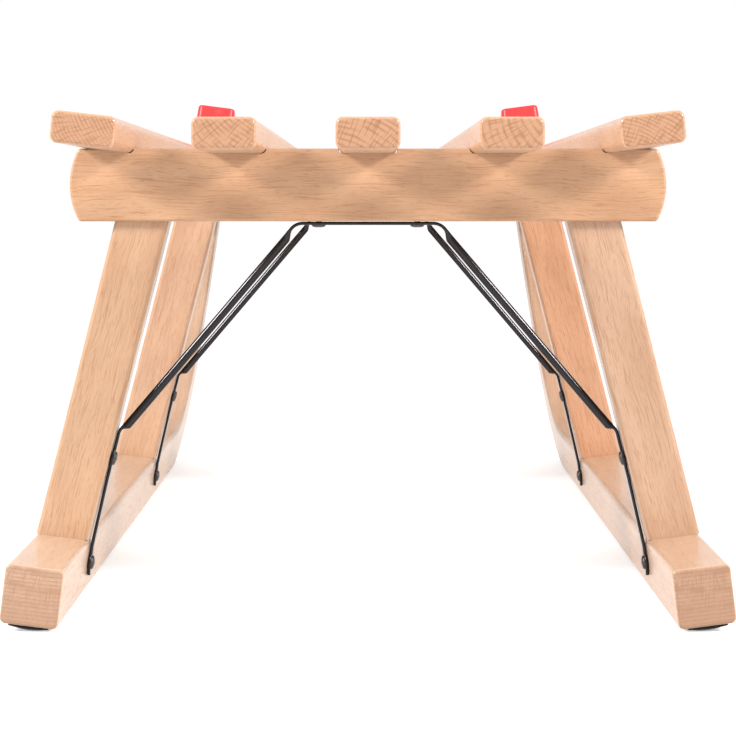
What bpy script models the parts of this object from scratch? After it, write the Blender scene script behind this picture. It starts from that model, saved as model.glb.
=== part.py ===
"""A wooden toboggan sledge with bent, horned runners.

Five seat slats are let into two crossbars and a front rail. Each crossbar stands on two splayed legs,
which are tenoned into it and into the runners. The runners are bent beech, shod with convex steel bands,
and rise into horns with moulded caps. A bent steel rod braces each pair of legs.

The drawing's own datum is the runners' rear end at ground level: X to the right, Y forward, Z up, metres.
Everything hangs on one empty, which puts the origin under the middle of the whole sledge.
"""

import math

import bmesh
import bpy
from mathutils import Matrix, Vector

# ---------------------------------------------------------------- driving dimensions (metres, degrees)
FIT = 0.0003                       # gap between any two pieces that touch

# Runners and horns: one bent bar on each side, standing in a plane that leans inwards
RUNNER_WIDTH = 0.0298
RUNNER_THICKNESS = 0.0306
RUNNER_CORNER = 0.0032             # rounding along the edges
RUNNER_END_ROUND = 0.0016
RUNNER_LEAN = math.radians(7.4)
TRACK_HALF = 0.1698                # from the middle plane to a runner's centre line on the ground
RUNNER_STRAIGHT = 0.745            # from the rear end to where the bend starts
TOE_BEND_RADIUS = 0.230            # under side, first and tighter part of the bend
TOE_BEND_TURN = math.radians(50)
HORN_BEND_RADIUS = 0.265           # under side, second and slacker part of the bend
HORN_RAKE = math.radians(79)       # slope of the straight horn above the ground
HORN_ABOVE_SEAT = 0.0343           # from the seat's top to the middle of the bare horn tip

# Steel bands under the runners
BAND_WIDTH = 0.0204
BAND_EDGE = 0.0006
BAND_CROWN = 0.0023
BAND_END_SETBACK = 0.0012
BAND_TAPER = 0.004
BAND_BELOW_CAP = 0.004

# Crossbars and front rail
CROSSBAR_UNDERSIDE = 0.2061
CROSSBAR_HEIGHT = 0.0394
CROSSBAR_DEPTH = 0.030
CROSSBAR_HALF_LENGTH = 0.1617
CROSSBAR_END_SAGITTA = 0.0049      # how far the rounded end stands out past its corners
CROSSBAR_EDGE = 0.0014
RAIL_PAST_BOLT = 0.0261895          # from the horn bolt's line to the rail's end
RAIL_DEPTH = 0.030
RAIL_HOUSING = 0.0030              # how deep the rail is let on to the horns

# Legs
LEG_WIDTH = 0.0287
LEG_DEPTH = 0.022
LEG_CORNER = 0.0026
LEG_TOP_HALF_SPREAD = 0.1230       # leg centre at the crossbar's under side
REAR_LEG_Y = 0.1225
LEG_SPACING = 0.430
TENON_WIDTH = 0.015
TENON_DEPTH = 0.013
TENON_CORNER = 0.0010
TOP_TENON_LENGTH = 0.026
FOOT_TENON_LENGTH = 0.017
MORTISE_EXTRA = 0.0010             # room past a tenon's end

# Seat slats
SLAT_WIDTH = 0.032
SLAT_THICKNESS = 0.016
SLAT_CORNER = 0.0036
SLAT_END_ROUND = 0.0018
SLAT_OVERHANG = 0.014              # behind the runners' rear end
SLAT_HORN_GAP = 0.004              # from the slats' front ends to the horns
SLAT_PITCH = 0.0712
NOTCH_DEPTH = 0.0030
OUTER_SLAT_X = 0.1406              # centre of an outer slat at its rear end
OUTER_SLAT_TILT = math.radians(6.5)
OUTER_SLAT_SPLAY = math.radians(0.67)

# Brace rods: their line is the side that lies against the wood
ROD_DIAMETER = 0.0046
STRAP_WIDTH = 0.0092
STRAP_THICKNESS = 0.0018
NECK_WIDTH = 0.0074                # narrowest pressed stretch, either side of an eye
EYE_WIDTH = 0.0124                 # round a screw on a leg or a runner
TIP_WIDTH = 0.0064
BRACE_TOP_HALF = 0.0399            # from the middle plane to the top bend
BRACE_KNEE_Z = 0.0914
BRACE_TOP_BEND = 0.0090
BRACE_KNEE_BEND = 0.0070
BRACE_FOOT_BEND = 0.0080
ROD_AFTER_TOP = (0.0046, 0.0110)   # past the top corner: where the strap ends, where the rod is round
ROD_BEFORE_KNEE = (0.0052, 0.0018)
LEG_STRAP_DROP = 0.0270            # length of the flattened stretch on a leg
RUNNER_STRAP_TOP = 0.0266          # up the runner's side
RUNNER_STRAP_TIP = 0.0100
BRACE_CENTRE_SCREW_X = 0.0270
LEG_SCREW_DROP = 0.0160            # below the knee
RUNNER_SCREW_RISE = 0.0072         # above the tip

# Screws and bolts: head diameter, head height, shank diameter, length under the head
SLAT_SCREW = (0.0084, 0.0022, 0.0042, 0.0300)
BRACE_SCREW = (0.0078, 0.0014, 0.0034, 0.0110)
BAND_SCREW = (0.0066, 0.0018, 0.0032, 0.0150)
SCREW_POINT = 0.0030
SLAT_SCREW_SINK = 0.0004
BAND_SCREW_SINK = 0.0003
BAND_SCREW_INSET = 0.040           # first band screw, from the runner's rear end
BAND_SCREW_COUNT = 3               # along the straight runner, besides the one on the bend
BAND_BEND_SCREW_Z = 0.120
BOLT_HEAD_DIAMETER = 0.0150
BOLT_HEAD_HEIGHT = 0.0036
BOLT_DIAMETER = 0.0060
NUT_FLATS = 0.0100
NUT_HEIGHT = 0.0060
NUT_FLANGE_DIAMETER = 0.0150
NUT_FLANGE_THICKNESS = 0.0014
BOLT_PAST_NUT = 0.0025

# Horn caps
CAP_WALL = 0.0024
CAP_LENGTH = 0.038
CAP_DRAFT = 0.0012                 # how much narrower the closed end is, each side
CAP_CORNER = 0.0046
CAP_TOP_WALL = 0.0026
CAP_TOP_ROUND = 0.0022

CORNER_STEPS = 3
BEND_STEP = math.radians(6)
ROUND_SIDES = 8
BOLT_SIDES = 12

# ---------------------------------------------------------------- sizes that follow from those
SLAT_BASE_Z = CROSSBAR_UNDERSIDE + CROSSBAR_HEIGHT - NOTCH_DEPTH + FIT
SEAT_TOP_Z = SLAT_BASE_Z + SLAT_THICKNESS
CROSSBAR_MIDDLE_Z = CROSSBAR_UNDERSIDE + CROSSBAR_HEIGHT / 2
FRONT_LEG_Y = REAR_LEG_Y + LEG_SPACING
SIDES = (("left", -1), ("right", 1))

COLOURS = {
    "slat": ((0.73, 0.42, 0.25), 0.42, 0.0),
    "crossbar": ((0.75, 0.41, 0.23), 0.42, 0.0),
    "leg": ((0.79, 0.47, 0.28), 0.42, 0.0),
    "runner": ((0.70, 0.47, 0.33), 0.42, 0.0),
    "cap": ((0.93, 0.09, 0.10), 0.35, 0.0),
    "steel": ((0.045, 0.042, 0.044), 0.35, 0.9),
    "screw": ((0.20, 0.19, 0.19), 0.30, 0.9),
}


# ---------------------------------------------------------------- helpers
def clear_scene():
    for old in list(bpy.data.objects):
        bpy.data.objects.remove(old, do_unlink=True)


def make_material(name):
    colour, roughness, metallic = COLOURS[name]
    made = bpy.data.materials.new(name)
    made.use_nodes = True
    shader = made.node_tree.nodes["Principled BSDF"]
    shader.inputs["Base Color"].default_value = (*colour, 1.0)
    shader.inputs["Roughness"].default_value = roughness
    shader.inputs["Metallic"].default_value = metallic
    return made


def rounded_rectangle(width, height, radius, steps=CORNER_STEPS):
    """Points of a rounded rectangle round its middle, anticlockwise."""
    radius = min(radius, 0.499 * width, 0.499 * height)
    points = []
    for quarter, (across, up) in enumerate(((1, -1), (1, 1), (-1, 1), (-1, -1))):
        for step in range(steps + 1):
            angle = math.radians(90) * (quarter - 1 + step / steps)
            points.append((
                across * (width / 2 - radius) + radius * math.cos(angle),
                up * (height / 2 - radius) + radius * math.sin(angle),
            ))
    return points


def circle(radius, sides=ROUND_SIDES):
    turns = [math.tau * (side + 0.5) / sides for side in range(sides)]
    return [(radius * math.cos(turn), radius * math.sin(turn)) for turn in turns]


def loft(mesh, rings):
    """Adds one closed body: rings of equal length joined in order, with its two ends filled."""
    rows = [[mesh.verts.new(point) for point in ring] for ring in rings]
    faces = []
    for row, following in zip(rows, rows[1:]):
        for index in range(len(row)):
            after = (index + 1) % len(row)
            faces.append(mesh.faces.new((row[index], row[after], following[after], following[index])))
    faces.append(mesh.faces.new(rows[0][::-1]))
    faces.append(mesh.faces.new(rows[-1]))
    bmesh.ops.recalc_face_normals(mesh, faces=faces)


def axis_matrix(point, direction):
    """A frame at point whose +Z is direction."""
    turn = Vector((0, 0, 1)).rotation_difference(Vector(direction).normalized())
    return Matrix.Translation(point) @ turn.to_matrix().to_4x4()


def turned(mesh, frame, profile, sides=ROUND_SIDES):
    """Adds a solid of revolution: profile is (radius, distance) pairs along the frame's +Z."""
    loft(mesh, [[frame @ Vector((x, y, z)) for x, y in circle(r, sides)] for r, z in profile])


def finish(mesh, name, kind, materials, datum):
    data = bpy.data.meshes.new(name)
    mesh.to_mesh(data)
    mesh.free()
    data.shade_smooth()
    data.set_sharp_from_angle(angle=math.radians(32))
    made = bpy.data.objects.new(name, data)
    bpy.context.scene.collection.objects.link(made)
    made.parent = datum
    if kind == "cutter":
        made.hide_render = True
        made.display_type = "WIRE"
    else:
        data.materials.append(materials[kind])
    return made


def round_edges(target, width):
    bevel = target.modifiers.new("edges", "BEVEL")
    bevel.width = width
    bevel.segments = 2
    bevel.limit_method = "ANGLE"
    bevel.angle_limit = math.radians(35)
    target.modifiers.new("flat faces before the cuts", "TRIANGULATE")


def cut(target, *cutters):
    for cutter in cutters:
        boolean = target.modifiers.new(cutter.name, "BOOLEAN")
        boolean.operation = "DIFFERENCE"
        boolean.solver = "EXACT"
        boolean.object = cutter


# ---------------------------------------------------------------- runner geometry
def band_section(grow=0.0):
    """Band section as (across, depth) pairs, depth measured from the runner's under side into the wood."""
    half = BAND_WIDTH / 2 + grow
    rise = BAND_CROWN - BAND_EDGE
    radius = (half * half + rise * rise) / (2 * rise)
    reach = math.asin(half / radius)
    points = [(-half, -FIT + grow), (half, -FIT + grow)]
    steps = 8
    for step in range(steps + 1):
        angle = reach * (1 - 2 * step / steps)
        outward = FIT + BAND_EDGE + rise - radius + radius * math.cos(angle)
        points.append((radius * math.sin(angle), -outward - grow))
    return points


def lean_point(side, along, rise, across):
    """A point in one runner's leaning plane: rise up the plane from the under side, across it outwards."""
    cosine = math.cos(RUNNER_LEAN)
    sine = math.sin(RUNNER_LEAN)
    return Vector((
        side * (RUNNER_BASE_X - rise * sine + across * cosine),
        along,
        RUNNER_BASE_Z + rise * cosine + across * sine,
    ))


def lowest_of_band():
    """How far the band's lowest edge lies below the middle of the runner's under side."""
    return max(
        -depth * math.cos(RUNNER_LEAN) - across * math.sin(RUNNER_LEAN)
        for across, depth in band_section()
    )


RUNNER_BASE_Z = lowest_of_band()
RUNNER_BASE_X = TRACK_HALF + RUNNER_THICKNESS / 2 * math.sin(RUNNER_LEAN)


def plane_rise(height):
    """Distance up the leaning plane, on its middle line, at a height above the ground."""
    return (height - RUNNER_BASE_Z) / math.cos(RUNNER_LEAN)


def bend_stations():
    """The runner's under side as (along, rise, slope) stations, from the rear end to the top of the bend."""
    stations = [(0.0, 0.0, 0.0), (RUNNER_STRAIGHT, 0.0, 0.0)]
    slope = 0.0
    bends = ((TOE_BEND_RADIUS, TOE_BEND_TURN), (HORN_BEND_RADIUS, HORN_RAKE - TOE_BEND_TURN))
    for radius, turn in bends:
        along, rise, first = stations[-1]
        steps = max(2, round(turn / BEND_STEP))
        for step in range(1, steps + 1):
            slope = first + turn * step / steps
            stations.append((
                along + radius * (math.sin(slope) - math.sin(first)),
                rise + radius * (math.cos(first) - math.cos(slope)),
                slope,
            ))
    return stations


BEND = bend_stations()


def up_the_horn(distance):
    """A station on the straight horn, a distance past the top of the bend."""
    along, rise, slope = BEND[-1]
    return (along + distance * math.cos(slope), rise + distance * math.sin(slope), slope)


HORN_TIP_RISE = plane_rise(SEAT_TOP_Z + HORN_ABOVE_SEAT)
HORN_LENGTH = (
    HORN_TIP_RISE - BEND[-1][1] - RUNNER_THICKNESS / 2 * math.cos(HORN_RAKE)
) / math.sin(HORN_RAKE)


def runner_ring(side, station, points):
    """A section ring at a station: points are (across, depth) pairs from the runner's under side."""
    along, rise, slope = station
    return [
        lean_point(side, along - depth * math.sin(slope), rise + depth * math.cos(slope), across)
        for across, depth in points
    ]


def runner_section(grow=0.0, inset=0.0):
    return [
        (across, depth + RUNNER_THICKNESS / 2)
        for across, depth in rounded_rectangle(
            RUNNER_WIDTH + 2 * (grow - inset),
            RUNNER_THICKNESS + 2 * (grow - inset),
            RUNNER_CORNER + grow - inset,
        )
    ]


def end_round(radius, steps=2):
    """(distance, inset) pairs that round off a bar's end."""
    turns = [math.radians(90) * step / steps for step in range(steps + 1)]
    return [(radius * (1 - math.sin(turn)), radius * (1 - math.cos(turn))) for turn in reversed(turns)]


def horn_back_y(height):
    """Where the horn's rear face is, on its middle line, at a height above the ground."""
    target = plane_rise(height)
    stations = [*BEND, up_the_horn(HORN_LENGTH)]
    back = [
        (y - RUNNER_THICKNESS * math.sin(slope), rise + RUNNER_THICKNESS * math.cos(slope))
        for y, rise, slope in stations
    ]
    for (y_low, low), (y_high, high) in zip(back[1:], back[2:]):
        if low <= target <= high:
            return y_low + (y_high - y_low) * (target - low) / (high - low)
    return back[-1][0]


def make_runner(side_name, side, context):
    mesh = bmesh.new()
    rings = []
    for distance, inset in end_round(RUNNER_END_ROUND):
        rings.append(runner_ring(side, (distance, 0.0, 0.0), runner_section(inset=inset)))
    for station in BEND[1:]:
        rings.append(runner_ring(side, station, runner_section()))
    for distance, inset in reversed(end_round(RUNNER_END_ROUND)):
        rings.append(runner_ring(side, up_the_horn(HORN_LENGTH - distance), runner_section(inset=inset)))
    loft(mesh, rings)
    return finish(mesh, f"runner_{side_name}", "runner", *context)


def make_horn_housing_cutter(context):
    """The horns' outline, a little larger, which cuts the housings in the front rail."""
    mesh = bmesh.new()
    for _, side in SIDES:
        stations = [*BEND[len(BEND) // 2:], up_the_horn(HORN_LENGTH)]
        loft(mesh, [runner_ring(side, station, runner_section(grow=FIT)) for station in stations])
    return finish(mesh, "cut_horn_housings", "cutter", *context)


def make_band(side_name, side, context):
    """Convex steel shoe, tapered at both ends, from the runner's rear end to just under the horn cap."""
    mesh = bmesh.new()
    cap_rim = HORN_LENGTH - (CAP_LENGTH - CAP_TOP_WALL)
    top = cap_rim - BAND_BELOW_CAP
    thin = [(across, -FIT + (depth + FIT) * 0.45) for across, depth in band_section()]
    stations = [((BAND_END_SETBACK, 0.0, 0.0), thin), ((BAND_END_SETBACK + BAND_TAPER, 0.0, 0.0), None)]
    stations += [(station, None) for station in BEND[1:]]
    stations += [(up_the_horn(top - BAND_TAPER), None), (up_the_horn(top), thin)]
    loft(mesh, [runner_ring(side, station, points or band_section()) for station, points in stations])
    return finish(mesh, f"runner_band_{side_name}", "steel", *context)


# ---------------------------------------------------------------- horn caps
def make_cap(side_name, side, context):
    """A moulded cup pushed over the horn's tip: inside ceiling, inside wall, rim, outside wall, top."""
    mesh = bmesh.new()
    top = HORN_LENGTH + FIT + CAP_TOP_WALL
    rim = top - CAP_LENGTH

    def ring(distance, grow, corner):
        points = rounded_rectangle(RUNNER_WIDTH + 2 * grow, RUNNER_THICKNESS + 2 * grow, corner)
        points = [(across, depth + RUNNER_THICKNESS / 2) for across, depth in points]
        return runner_ring(side, up_the_horn(distance), points)

    top_grow = CAP_WALL - CAP_DRAFT
    loft(mesh, [
        ring(HORN_LENGTH + FIT, FIT, RUNNER_CORNER + FIT),
        ring(rim, FIT, RUNNER_CORNER + FIT),
        ring(rim, CAP_WALL, CAP_CORNER),
        ring(top - CAP_TOP_ROUND, top_grow, CAP_CORNER),
        ring(top - 0.3 * CAP_TOP_ROUND, top_grow - 0.3 * CAP_TOP_ROUND, CAP_CORNER - 0.3 * CAP_TOP_ROUND),
        ring(top, top_grow - CAP_TOP_ROUND, CAP_CORNER - CAP_TOP_ROUND),
    ])
    return finish(mesh, f"horn_cap_{side_name}", "cap", *context)


# ---------------------------------------------------------------- crossbars and front rail
def bar_outline(half_length):
    """Front outline of a crossbar: level top and bottom, both ends rounded by one arc."""
    half_height = CROSSBAR_HEIGHT / 2
    sagitta = CROSSBAR_END_SAGITTA
    radius = (half_height ** 2 + sagitta ** 2) / (2 * sagitta)
    reach = math.asin(half_height / radius)
    steps = 8
    outline = []
    for side in (1, -1):
        for step in range(steps + 1):
            angle = reach * (2 * step / steps - 1)
            outline.append((
                side * (half_length - radius + radius * math.cos(angle)),
                CROSSBAR_MIDDLE_Z + side * radius * math.sin(angle),
            ))
    return outline


def make_bar(name, half_length, middle_y, depth, rake, context):
    """A bar across the sledge; rake leans its front and rear faces forward."""
    mesh = bmesh.new()
    rings = []
    for face in (-0.5, 0.5):
        rings.append([
            Vector((x, middle_y + face * depth + (z - CROSSBAR_MIDDLE_Z) * math.tan(rake), z))
            for x, z in bar_outline(half_length)
        ])
    loft(mesh, rings)
    made = finish(mesh, name, "crossbar", *context)
    round_edges(made, CROSSBAR_EDGE)
    return made


RAIL_LEAN = math.pi / 2 - HORN_RAKE
RAIL_Y = horn_back_y(CROSSBAR_MIDDLE_Z) + RAIL_HOUSING - RAIL_DEPTH / 2
RAIL_HALF_LENGTH = lean_point(1, RAIL_Y, plane_rise(CROSSBAR_MIDDLE_Z), 0.0).x + RAIL_PAST_BOLT


# ---------------------------------------------------------------- legs
def leg_axis(side, leg_y):
    """Foot and top of a leg's centre line: on the runner's top face and at the crossbar's under side."""
    foot = lean_point(side, leg_y, RUNNER_THICKNESS, 0.0)
    top = Vector((side * LEG_TOP_HALF_SPREAD, leg_y, CROSSBAR_UNDERSIDE))
    return foot, top


def leg_frame(side, leg_y):
    """Frame at the foot: +Z up the leg, +Y forward."""
    foot, top = leg_axis(side, leg_y)
    up = (top - foot).normalized()
    forward = Vector((0, 1, 0))
    across = forward.cross(up)
    frame = Matrix((across, forward, up)).transposed().to_4x4()
    return Matrix.Translation(foot) @ frame, (top - foot).length


def sheared_ring(frame, points, distance, normal):
    """Section points carried along the leg on to a plane that crosses its axis at a distance."""
    up = frame.to_3x3() @ Vector((0, 0, 1))
    middle = frame @ Vector((0, 0, distance))
    ring = []
    for x, y in points:
        start = frame @ Vector((x, y, distance))
        ring.append(start + up * ((middle - start).dot(normal) / up.dot(normal)))
    return ring


def leg_rings(side, leg_y, grow=0.0, tenons_only=None):
    """Rings from the foot tenon's end to the top tenon's end, or of one tenon's mortise."""
    frame, length = leg_frame(side, leg_y)
    foot_normal = Vector((-side * math.sin(RUNNER_LEAN), 0, math.cos(RUNNER_LEAN)))
    level = Vector((0, 0, 1))
    tenon = rounded_rectangle(TENON_WIDTH + 2 * grow, TENON_DEPTH + 2 * grow, TENON_CORNER + grow)
    body = rounded_rectangle(LEG_WIDTH, LEG_DEPTH, LEG_CORNER)
    if tenons_only == "foot":
        return [
            sheared_ring(frame, tenon, -FOOT_TENON_LENGTH - MORTISE_EXTRA, foot_normal),
            sheared_ring(frame, tenon, 0.002, foot_normal),
        ]
    if tenons_only == "top":
        return [
            sheared_ring(frame, tenon, length - 0.002, level),
            sheared_ring(frame, tenon, length + TOP_TENON_LENGTH + MORTISE_EXTRA, level),
        ]
    return [
        sheared_ring(frame, tenon, -FOOT_TENON_LENGTH, foot_normal),
        sheared_ring(frame, tenon, FIT, foot_normal),
        sheared_ring(frame, body, FIT, foot_normal),
        sheared_ring(frame, body, length - FIT, level),
        sheared_ring(frame, tenon, length - FIT, level),
        sheared_ring(frame, tenon, length + TOP_TENON_LENGTH, level),
    ]


def make_leg(name, side, leg_y, context):
    mesh = bmesh.new()
    loft(mesh, leg_rings(side, leg_y))
    return finish(mesh, name, "leg", *context)


def make_mortise_cutter(end, context):
    mesh = bmesh.new()
    for leg_y in (REAR_LEG_Y, FRONT_LEG_Y):
        for _, side in SIDES:
            loft(mesh, leg_rings(side, leg_y, grow=FIT, tenons_only=end))
    return finish(mesh, f"cut_{end}_mortises", "cutter", *context)


# ---------------------------------------------------------------- seat slats
def slat_frames():
    """Name and frame of each slat, left to right: origin at the rear end's centre, +Y along, +Z its top."""
    level_z = SLAT_BASE_Z + SLAT_THICKNESS / 2
    drop = SLAT_WIDTH / 2 * math.sin(OUTER_SLAT_TILT) + SLAT_THICKNESS / 2 * math.cos(OUTER_SLAT_TILT)
    outer_z = SLAT_BASE_Z + drop
    rows = [
        ("seat_slat_outer_left", -OUTER_SLAT_X, outer_z, -1),
        ("seat_slat_inner_left", -SLAT_PITCH, level_z, 0),
        ("seat_slat_centre", 0.0, level_z, 0),
        ("seat_slat_inner_right", SLAT_PITCH, level_z, 0),
        ("seat_slat_outer_right", OUTER_SLAT_X, outer_z, 1),
    ]
    for name, x, z, lean in rows:
        splay = Matrix.Rotation(-lean * OUTER_SLAT_SPLAY, 4, "Z")
        tilt = Matrix.Rotation(-lean * OUTER_SLAT_TILT, 4, "Y")
        yield name, Matrix.Translation((x, -SLAT_OVERHANG, z)) @ splay @ tilt


SLAT_LENGTH = SLAT_OVERHANG + horn_back_y(SLAT_BASE_Z) - SLAT_HORN_GAP


def make_slat(name, frame, context):
    mesh = bmesh.new()
    ends = end_round(SLAT_END_ROUND)
    stations = ends + [(SLAT_LENGTH - distance, inset) for distance, inset in reversed(ends)]
    rings = []
    for along, inset in stations:
        section = rounded_rectangle(
            SLAT_WIDTH - 2 * inset, SLAT_THICKNESS - 2 * inset, SLAT_CORNER - inset
        )
        rings.append([frame @ Vector((x, along, z)) for x, z in section])
    loft(mesh, rings)
    return finish(mesh, name, "slat", *context)


def make_notch_cutter(context):
    """A square-cornered bar for each slat, which cuts its seats in the bars below."""
    mesh = bmesh.new()
    headroom = 0.030
    half = SLAT_WIDTH / 2 + FIT
    floor = -SLAT_THICKNESS / 2 - FIT
    for _, frame in slat_frames():
        corners = ((-half, floor), (half, floor), (half, headroom), (-half, headroom))
        ends = (-headroom, SLAT_LENGTH + headroom)
        loft(mesh, [[frame @ Vector((x, along, z)) for x, z in corners] for along in ends])
    return finish(mesh, "cut_slat_notches", "cutter", *context)


# ---------------------------------------------------------------- braces
def brace_corners():
    """The brace's corners on its right half, (x, z) on its wood side, and each bend's radius."""
    foot, top = leg_axis(1, 0.0)
    up = Vector((top.x - foot.x, top.z - foot.z)).normalized()
    inward = Vector((-up.y, up.x))
    leg_face = Vector((foot.x, foot.z)) + inward * (LEG_WIDTH / 2 + FIT)
    knee = leg_face + up * ((BRACE_KNEE_Z - leg_face.y) / up.y)

    def on_runner(rise):
        point = lean_point(1, 0.0, rise, -RUNNER_WIDTH / 2 - FIT)
        return Vector((point.x, point.z))

    # On a leg whose face stands proud of the runner's, the strap follows it down to its lower edge.
    runner_top = Vector((-math.sin(RUNNER_LEAN), math.cos(RUNNER_LEAN)))
    edge = leg_face - up * (inward.dot(runner_top) / up.dot(runner_top) * (LEG_WIDTH / 2 + FIT))
    behind_leg_face = (on_runner(RUNNER_STRAP_TOP) - leg_face).dot(inward) < 0
    leg_bend = edge if behind_leg_face else knee - up * LEG_STRAP_DROP

    strap_z = CROSSBAR_UNDERSIDE - FIT
    return [
        (Vector((0.0, strap_z)), 0.0),
        (Vector((BRACE_TOP_HALF, strap_z)), BRACE_TOP_BEND),
        (knee, BRACE_KNEE_BEND),
        (leg_bend, BRACE_FOOT_BEND),
        (on_runner(RUNNER_STRAP_TOP), BRACE_FOOT_BEND),
        (on_runner(RUNNER_STRAP_TIP), 0.0),
    ]


def corner_arc(before, here, after, radius):
    """(point, direction) stations round one corner of the brace's line."""
    first = (here - before).normalized()
    last = (after - here).normalized()
    turn = first.angle(last)
    start = here - first * radius * math.tan(turn / 2)
    steps = max(1, round(turn / math.radians(16)))
    arc = []
    for step in range(steps + 1):
        share = step / steps
        chord = 2 * radius * math.sin(turn * share / 2)
        arc.append((start + first.slerp(last, share / 2) * chord, first.slerp(last, share)))
    return arc


def brace_stations():
    """The right half from the middle to its tip: (point, direction, width, thickness) of each section."""
    corners = brace_corners()
    points = [point for point, _ in corners]
    radii = [radius for _, radius in corners]
    arcs = [corner_arc(*points[turn - 1:turn + 2], radii[turn]) for turn in range(1, 5)]
    stations = []

    def along(leg, distance, width, thickness=STRAP_THICKNESS):
        """A section on one straight leg of the line; a negative distance is measured from its far end."""
        direction = (points[leg + 1] - points[leg]).normalized()
        start = points[leg + 1] if distance < 0 else points[leg]
        stations.append((start + direction * distance, direction, width, thickness))

    def round_corner(turn, width):
        stations.extend((point, direction, width, STRAP_THICKNESS) for point, direction in arcs[turn])

    def eye(leg, distance, past=True):
        for share in (-0.84, -0.52, 0.0, 0.52):
            width = EYE_WIDTH * math.sqrt(1 - share * share)
            along(leg, distance + share * EYE_WIDTH / 2, max(width, NECK_WIDTH))
        if past:
            along(leg, distance + 0.84 * EYE_WIDTH / 2, NECK_WIDTH)

    round_corner(0, STRAP_WIDTH)
    along(1, ROD_AFTER_TOP[0], STRAP_WIDTH)
    along(1, ROD_AFTER_TOP[1], ROD_DIAMETER, ROD_DIAMETER)
    along(1, -ROD_BEFORE_KNEE[0], ROD_DIAMETER, ROD_DIAMETER)
    along(1, -ROD_BEFORE_KNEE[1], NECK_WIDTH)
    round_corner(1, NECK_WIDTH)
    eye(2, LEG_SCREW_DROP)
    round_corner(2, NECK_WIDTH)
    round_corner(3, NECK_WIDTH)
    eye(4, -RUNNER_SCREW_RISE, past=False)
    along(4, -0.00001, TIP_WIDTH)
    return stations


def make_brace(name, leg_y, context):
    """One rod: pressed flat under the crossbar, on both legs and on both runners, round in between."""
    half = brace_stations()
    mirrored = [
        (Vector((-point.x, point.y)), Vector((direction.x, -direction.y)), width, thickness)
        for point, direction, width, thickness in reversed(half)
    ]
    mesh = bmesh.new()
    rings = []
    for point, direction, width, thickness in mirrored + half:
        section = rounded_rectangle(width, thickness, ROD_DIAMETER / 2, steps=2)
        wood_side = Vector((-direction.y, direction.x))
        rings.append([
            Vector((point.x, leg_y + across, point.y)) + Vector((wood_side.x, 0, wood_side.y)) * lift
            for across, lift in ((x, y - thickness / 2) for x, y in section)
        ])
    loft(mesh, rings)
    return finish(mesh, name, "steel", *context)


# ---------------------------------------------------------------- screws and bolts
def countersunk(mesh, frame, sizes, grow=0.0):
    """Countersunk wood screw from its head's top, down the frame's +Z."""
    head, height, shank, length = sizes
    top = -0.004 if grow else 0.0
    turned(mesh, frame, [
        (head / 2 + grow, top),
        (head / 2 + grow, 0.0003),
        (shank / 2 + grow, height + grow),
        (shank / 2 + grow, height + length - SCREW_POINT),
        (0.0004 + grow, height + length + grow),
    ])


def pan_head(mesh, frame, sizes, grow=0.0):
    """Low round-headed screw: the frame's origin is its head's seat, +Z down the shank."""
    head, height, shank, length = sizes
    if grow:
        turned(mesh, frame, [
            (shank / 2 + grow, -0.010),
            (shank / 2 + grow, length - SCREW_POINT),
            (0.0004 + grow, length + grow),
        ])
        return
    turned(mesh, frame, [
        (0.22 * head, -height),
        (0.40 * head, -0.72 * height),
        (0.50 * head, -0.10 * height),
        (0.48 * head, 0.0),
        (shank / 2, 0.0),
        (shank / 2, length - SCREW_POINT),
        (0.0004, length),
    ])


def slat_screw_frames(bar_y):
    for _, frame in slat_frames():
        splay_cosine = (frame.to_3x3() @ Vector((0, 1, 0))).y
        along = (bar_y + SLAT_OVERHANG) / splay_cosine
        head = frame @ Vector((0, along, SLAT_THICKNESS / 2 - SLAT_SCREW_SINK))
        yield axis_matrix(head, frame.to_3x3() @ Vector((0, 0, -1)))


def brace_screw_frames(leg_y):
    """Seats of one brace's six screws, all driven outwards into the wood."""
    corners = [corner for corner, _ in brace_corners()]
    lift = STRAP_THICKNESS + FIT
    knee, strap_end = corners[2], corners[3]
    tip, runner_top = corners[5], corners[4]
    down_leg = (strap_end - knee).normalized()
    up_runner = (runner_top - tip).normalized()
    places = [
        (Vector((BRACE_CENTRE_SCREW_X, corners[0].y)), Vector((0.0, 1.0))),
        (knee + down_leg * LEG_SCREW_DROP, Vector((-down_leg.y, down_leg.x))),
        (tip + up_runner * RUNNER_SCREW_RISE, Vector((up_runner.y, -up_runner.x))),
    ]
    for _, side in SIDES:
        for point, drive in places:
            seat = point - drive * lift
            yield axis_matrix(
                Vector((side * seat.x, leg_y, seat.y)), Vector((side * drive.x, 0, drive.y))
            )


def band_screw_frames(side):
    """Seats of one band's screws: evenly along the straight runner, and one on the bend."""
    crown = -FIT - BAND_CROWN + BAND_SCREW_SINK
    spacing = (RUNNER_STRAIGHT - 2 * BAND_SCREW_INSET) / (BAND_SCREW_COUNT - 1)
    stations = [(BAND_SCREW_INSET + spacing * place, 0.0, 0.0) for place in range(BAND_SCREW_COUNT)]
    stations.append(min(BEND, key=lambda station: abs(station[1] - plane_rise(BAND_BEND_SCREW_Z))))
    for station in stations:
        seat = runner_ring(side, station, [(0.0, crown)])[0]
        inside = runner_ring(side, station, [(0.0, RUNNER_THICKNESS)])[0]
        yield axis_matrix(seat, inside - seat)


def bolt_line(side):
    """A horn bolt's axis: a point on the rail's middle and the direction forward and square to the rail."""
    middle = lean_point(side, RAIL_Y, plane_rise(CROSSBAR_MIDDLE_Z), 0.0)
    return middle, Vector((0, math.cos(RAIL_LEAN), -math.sin(RAIL_LEAN)))


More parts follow.
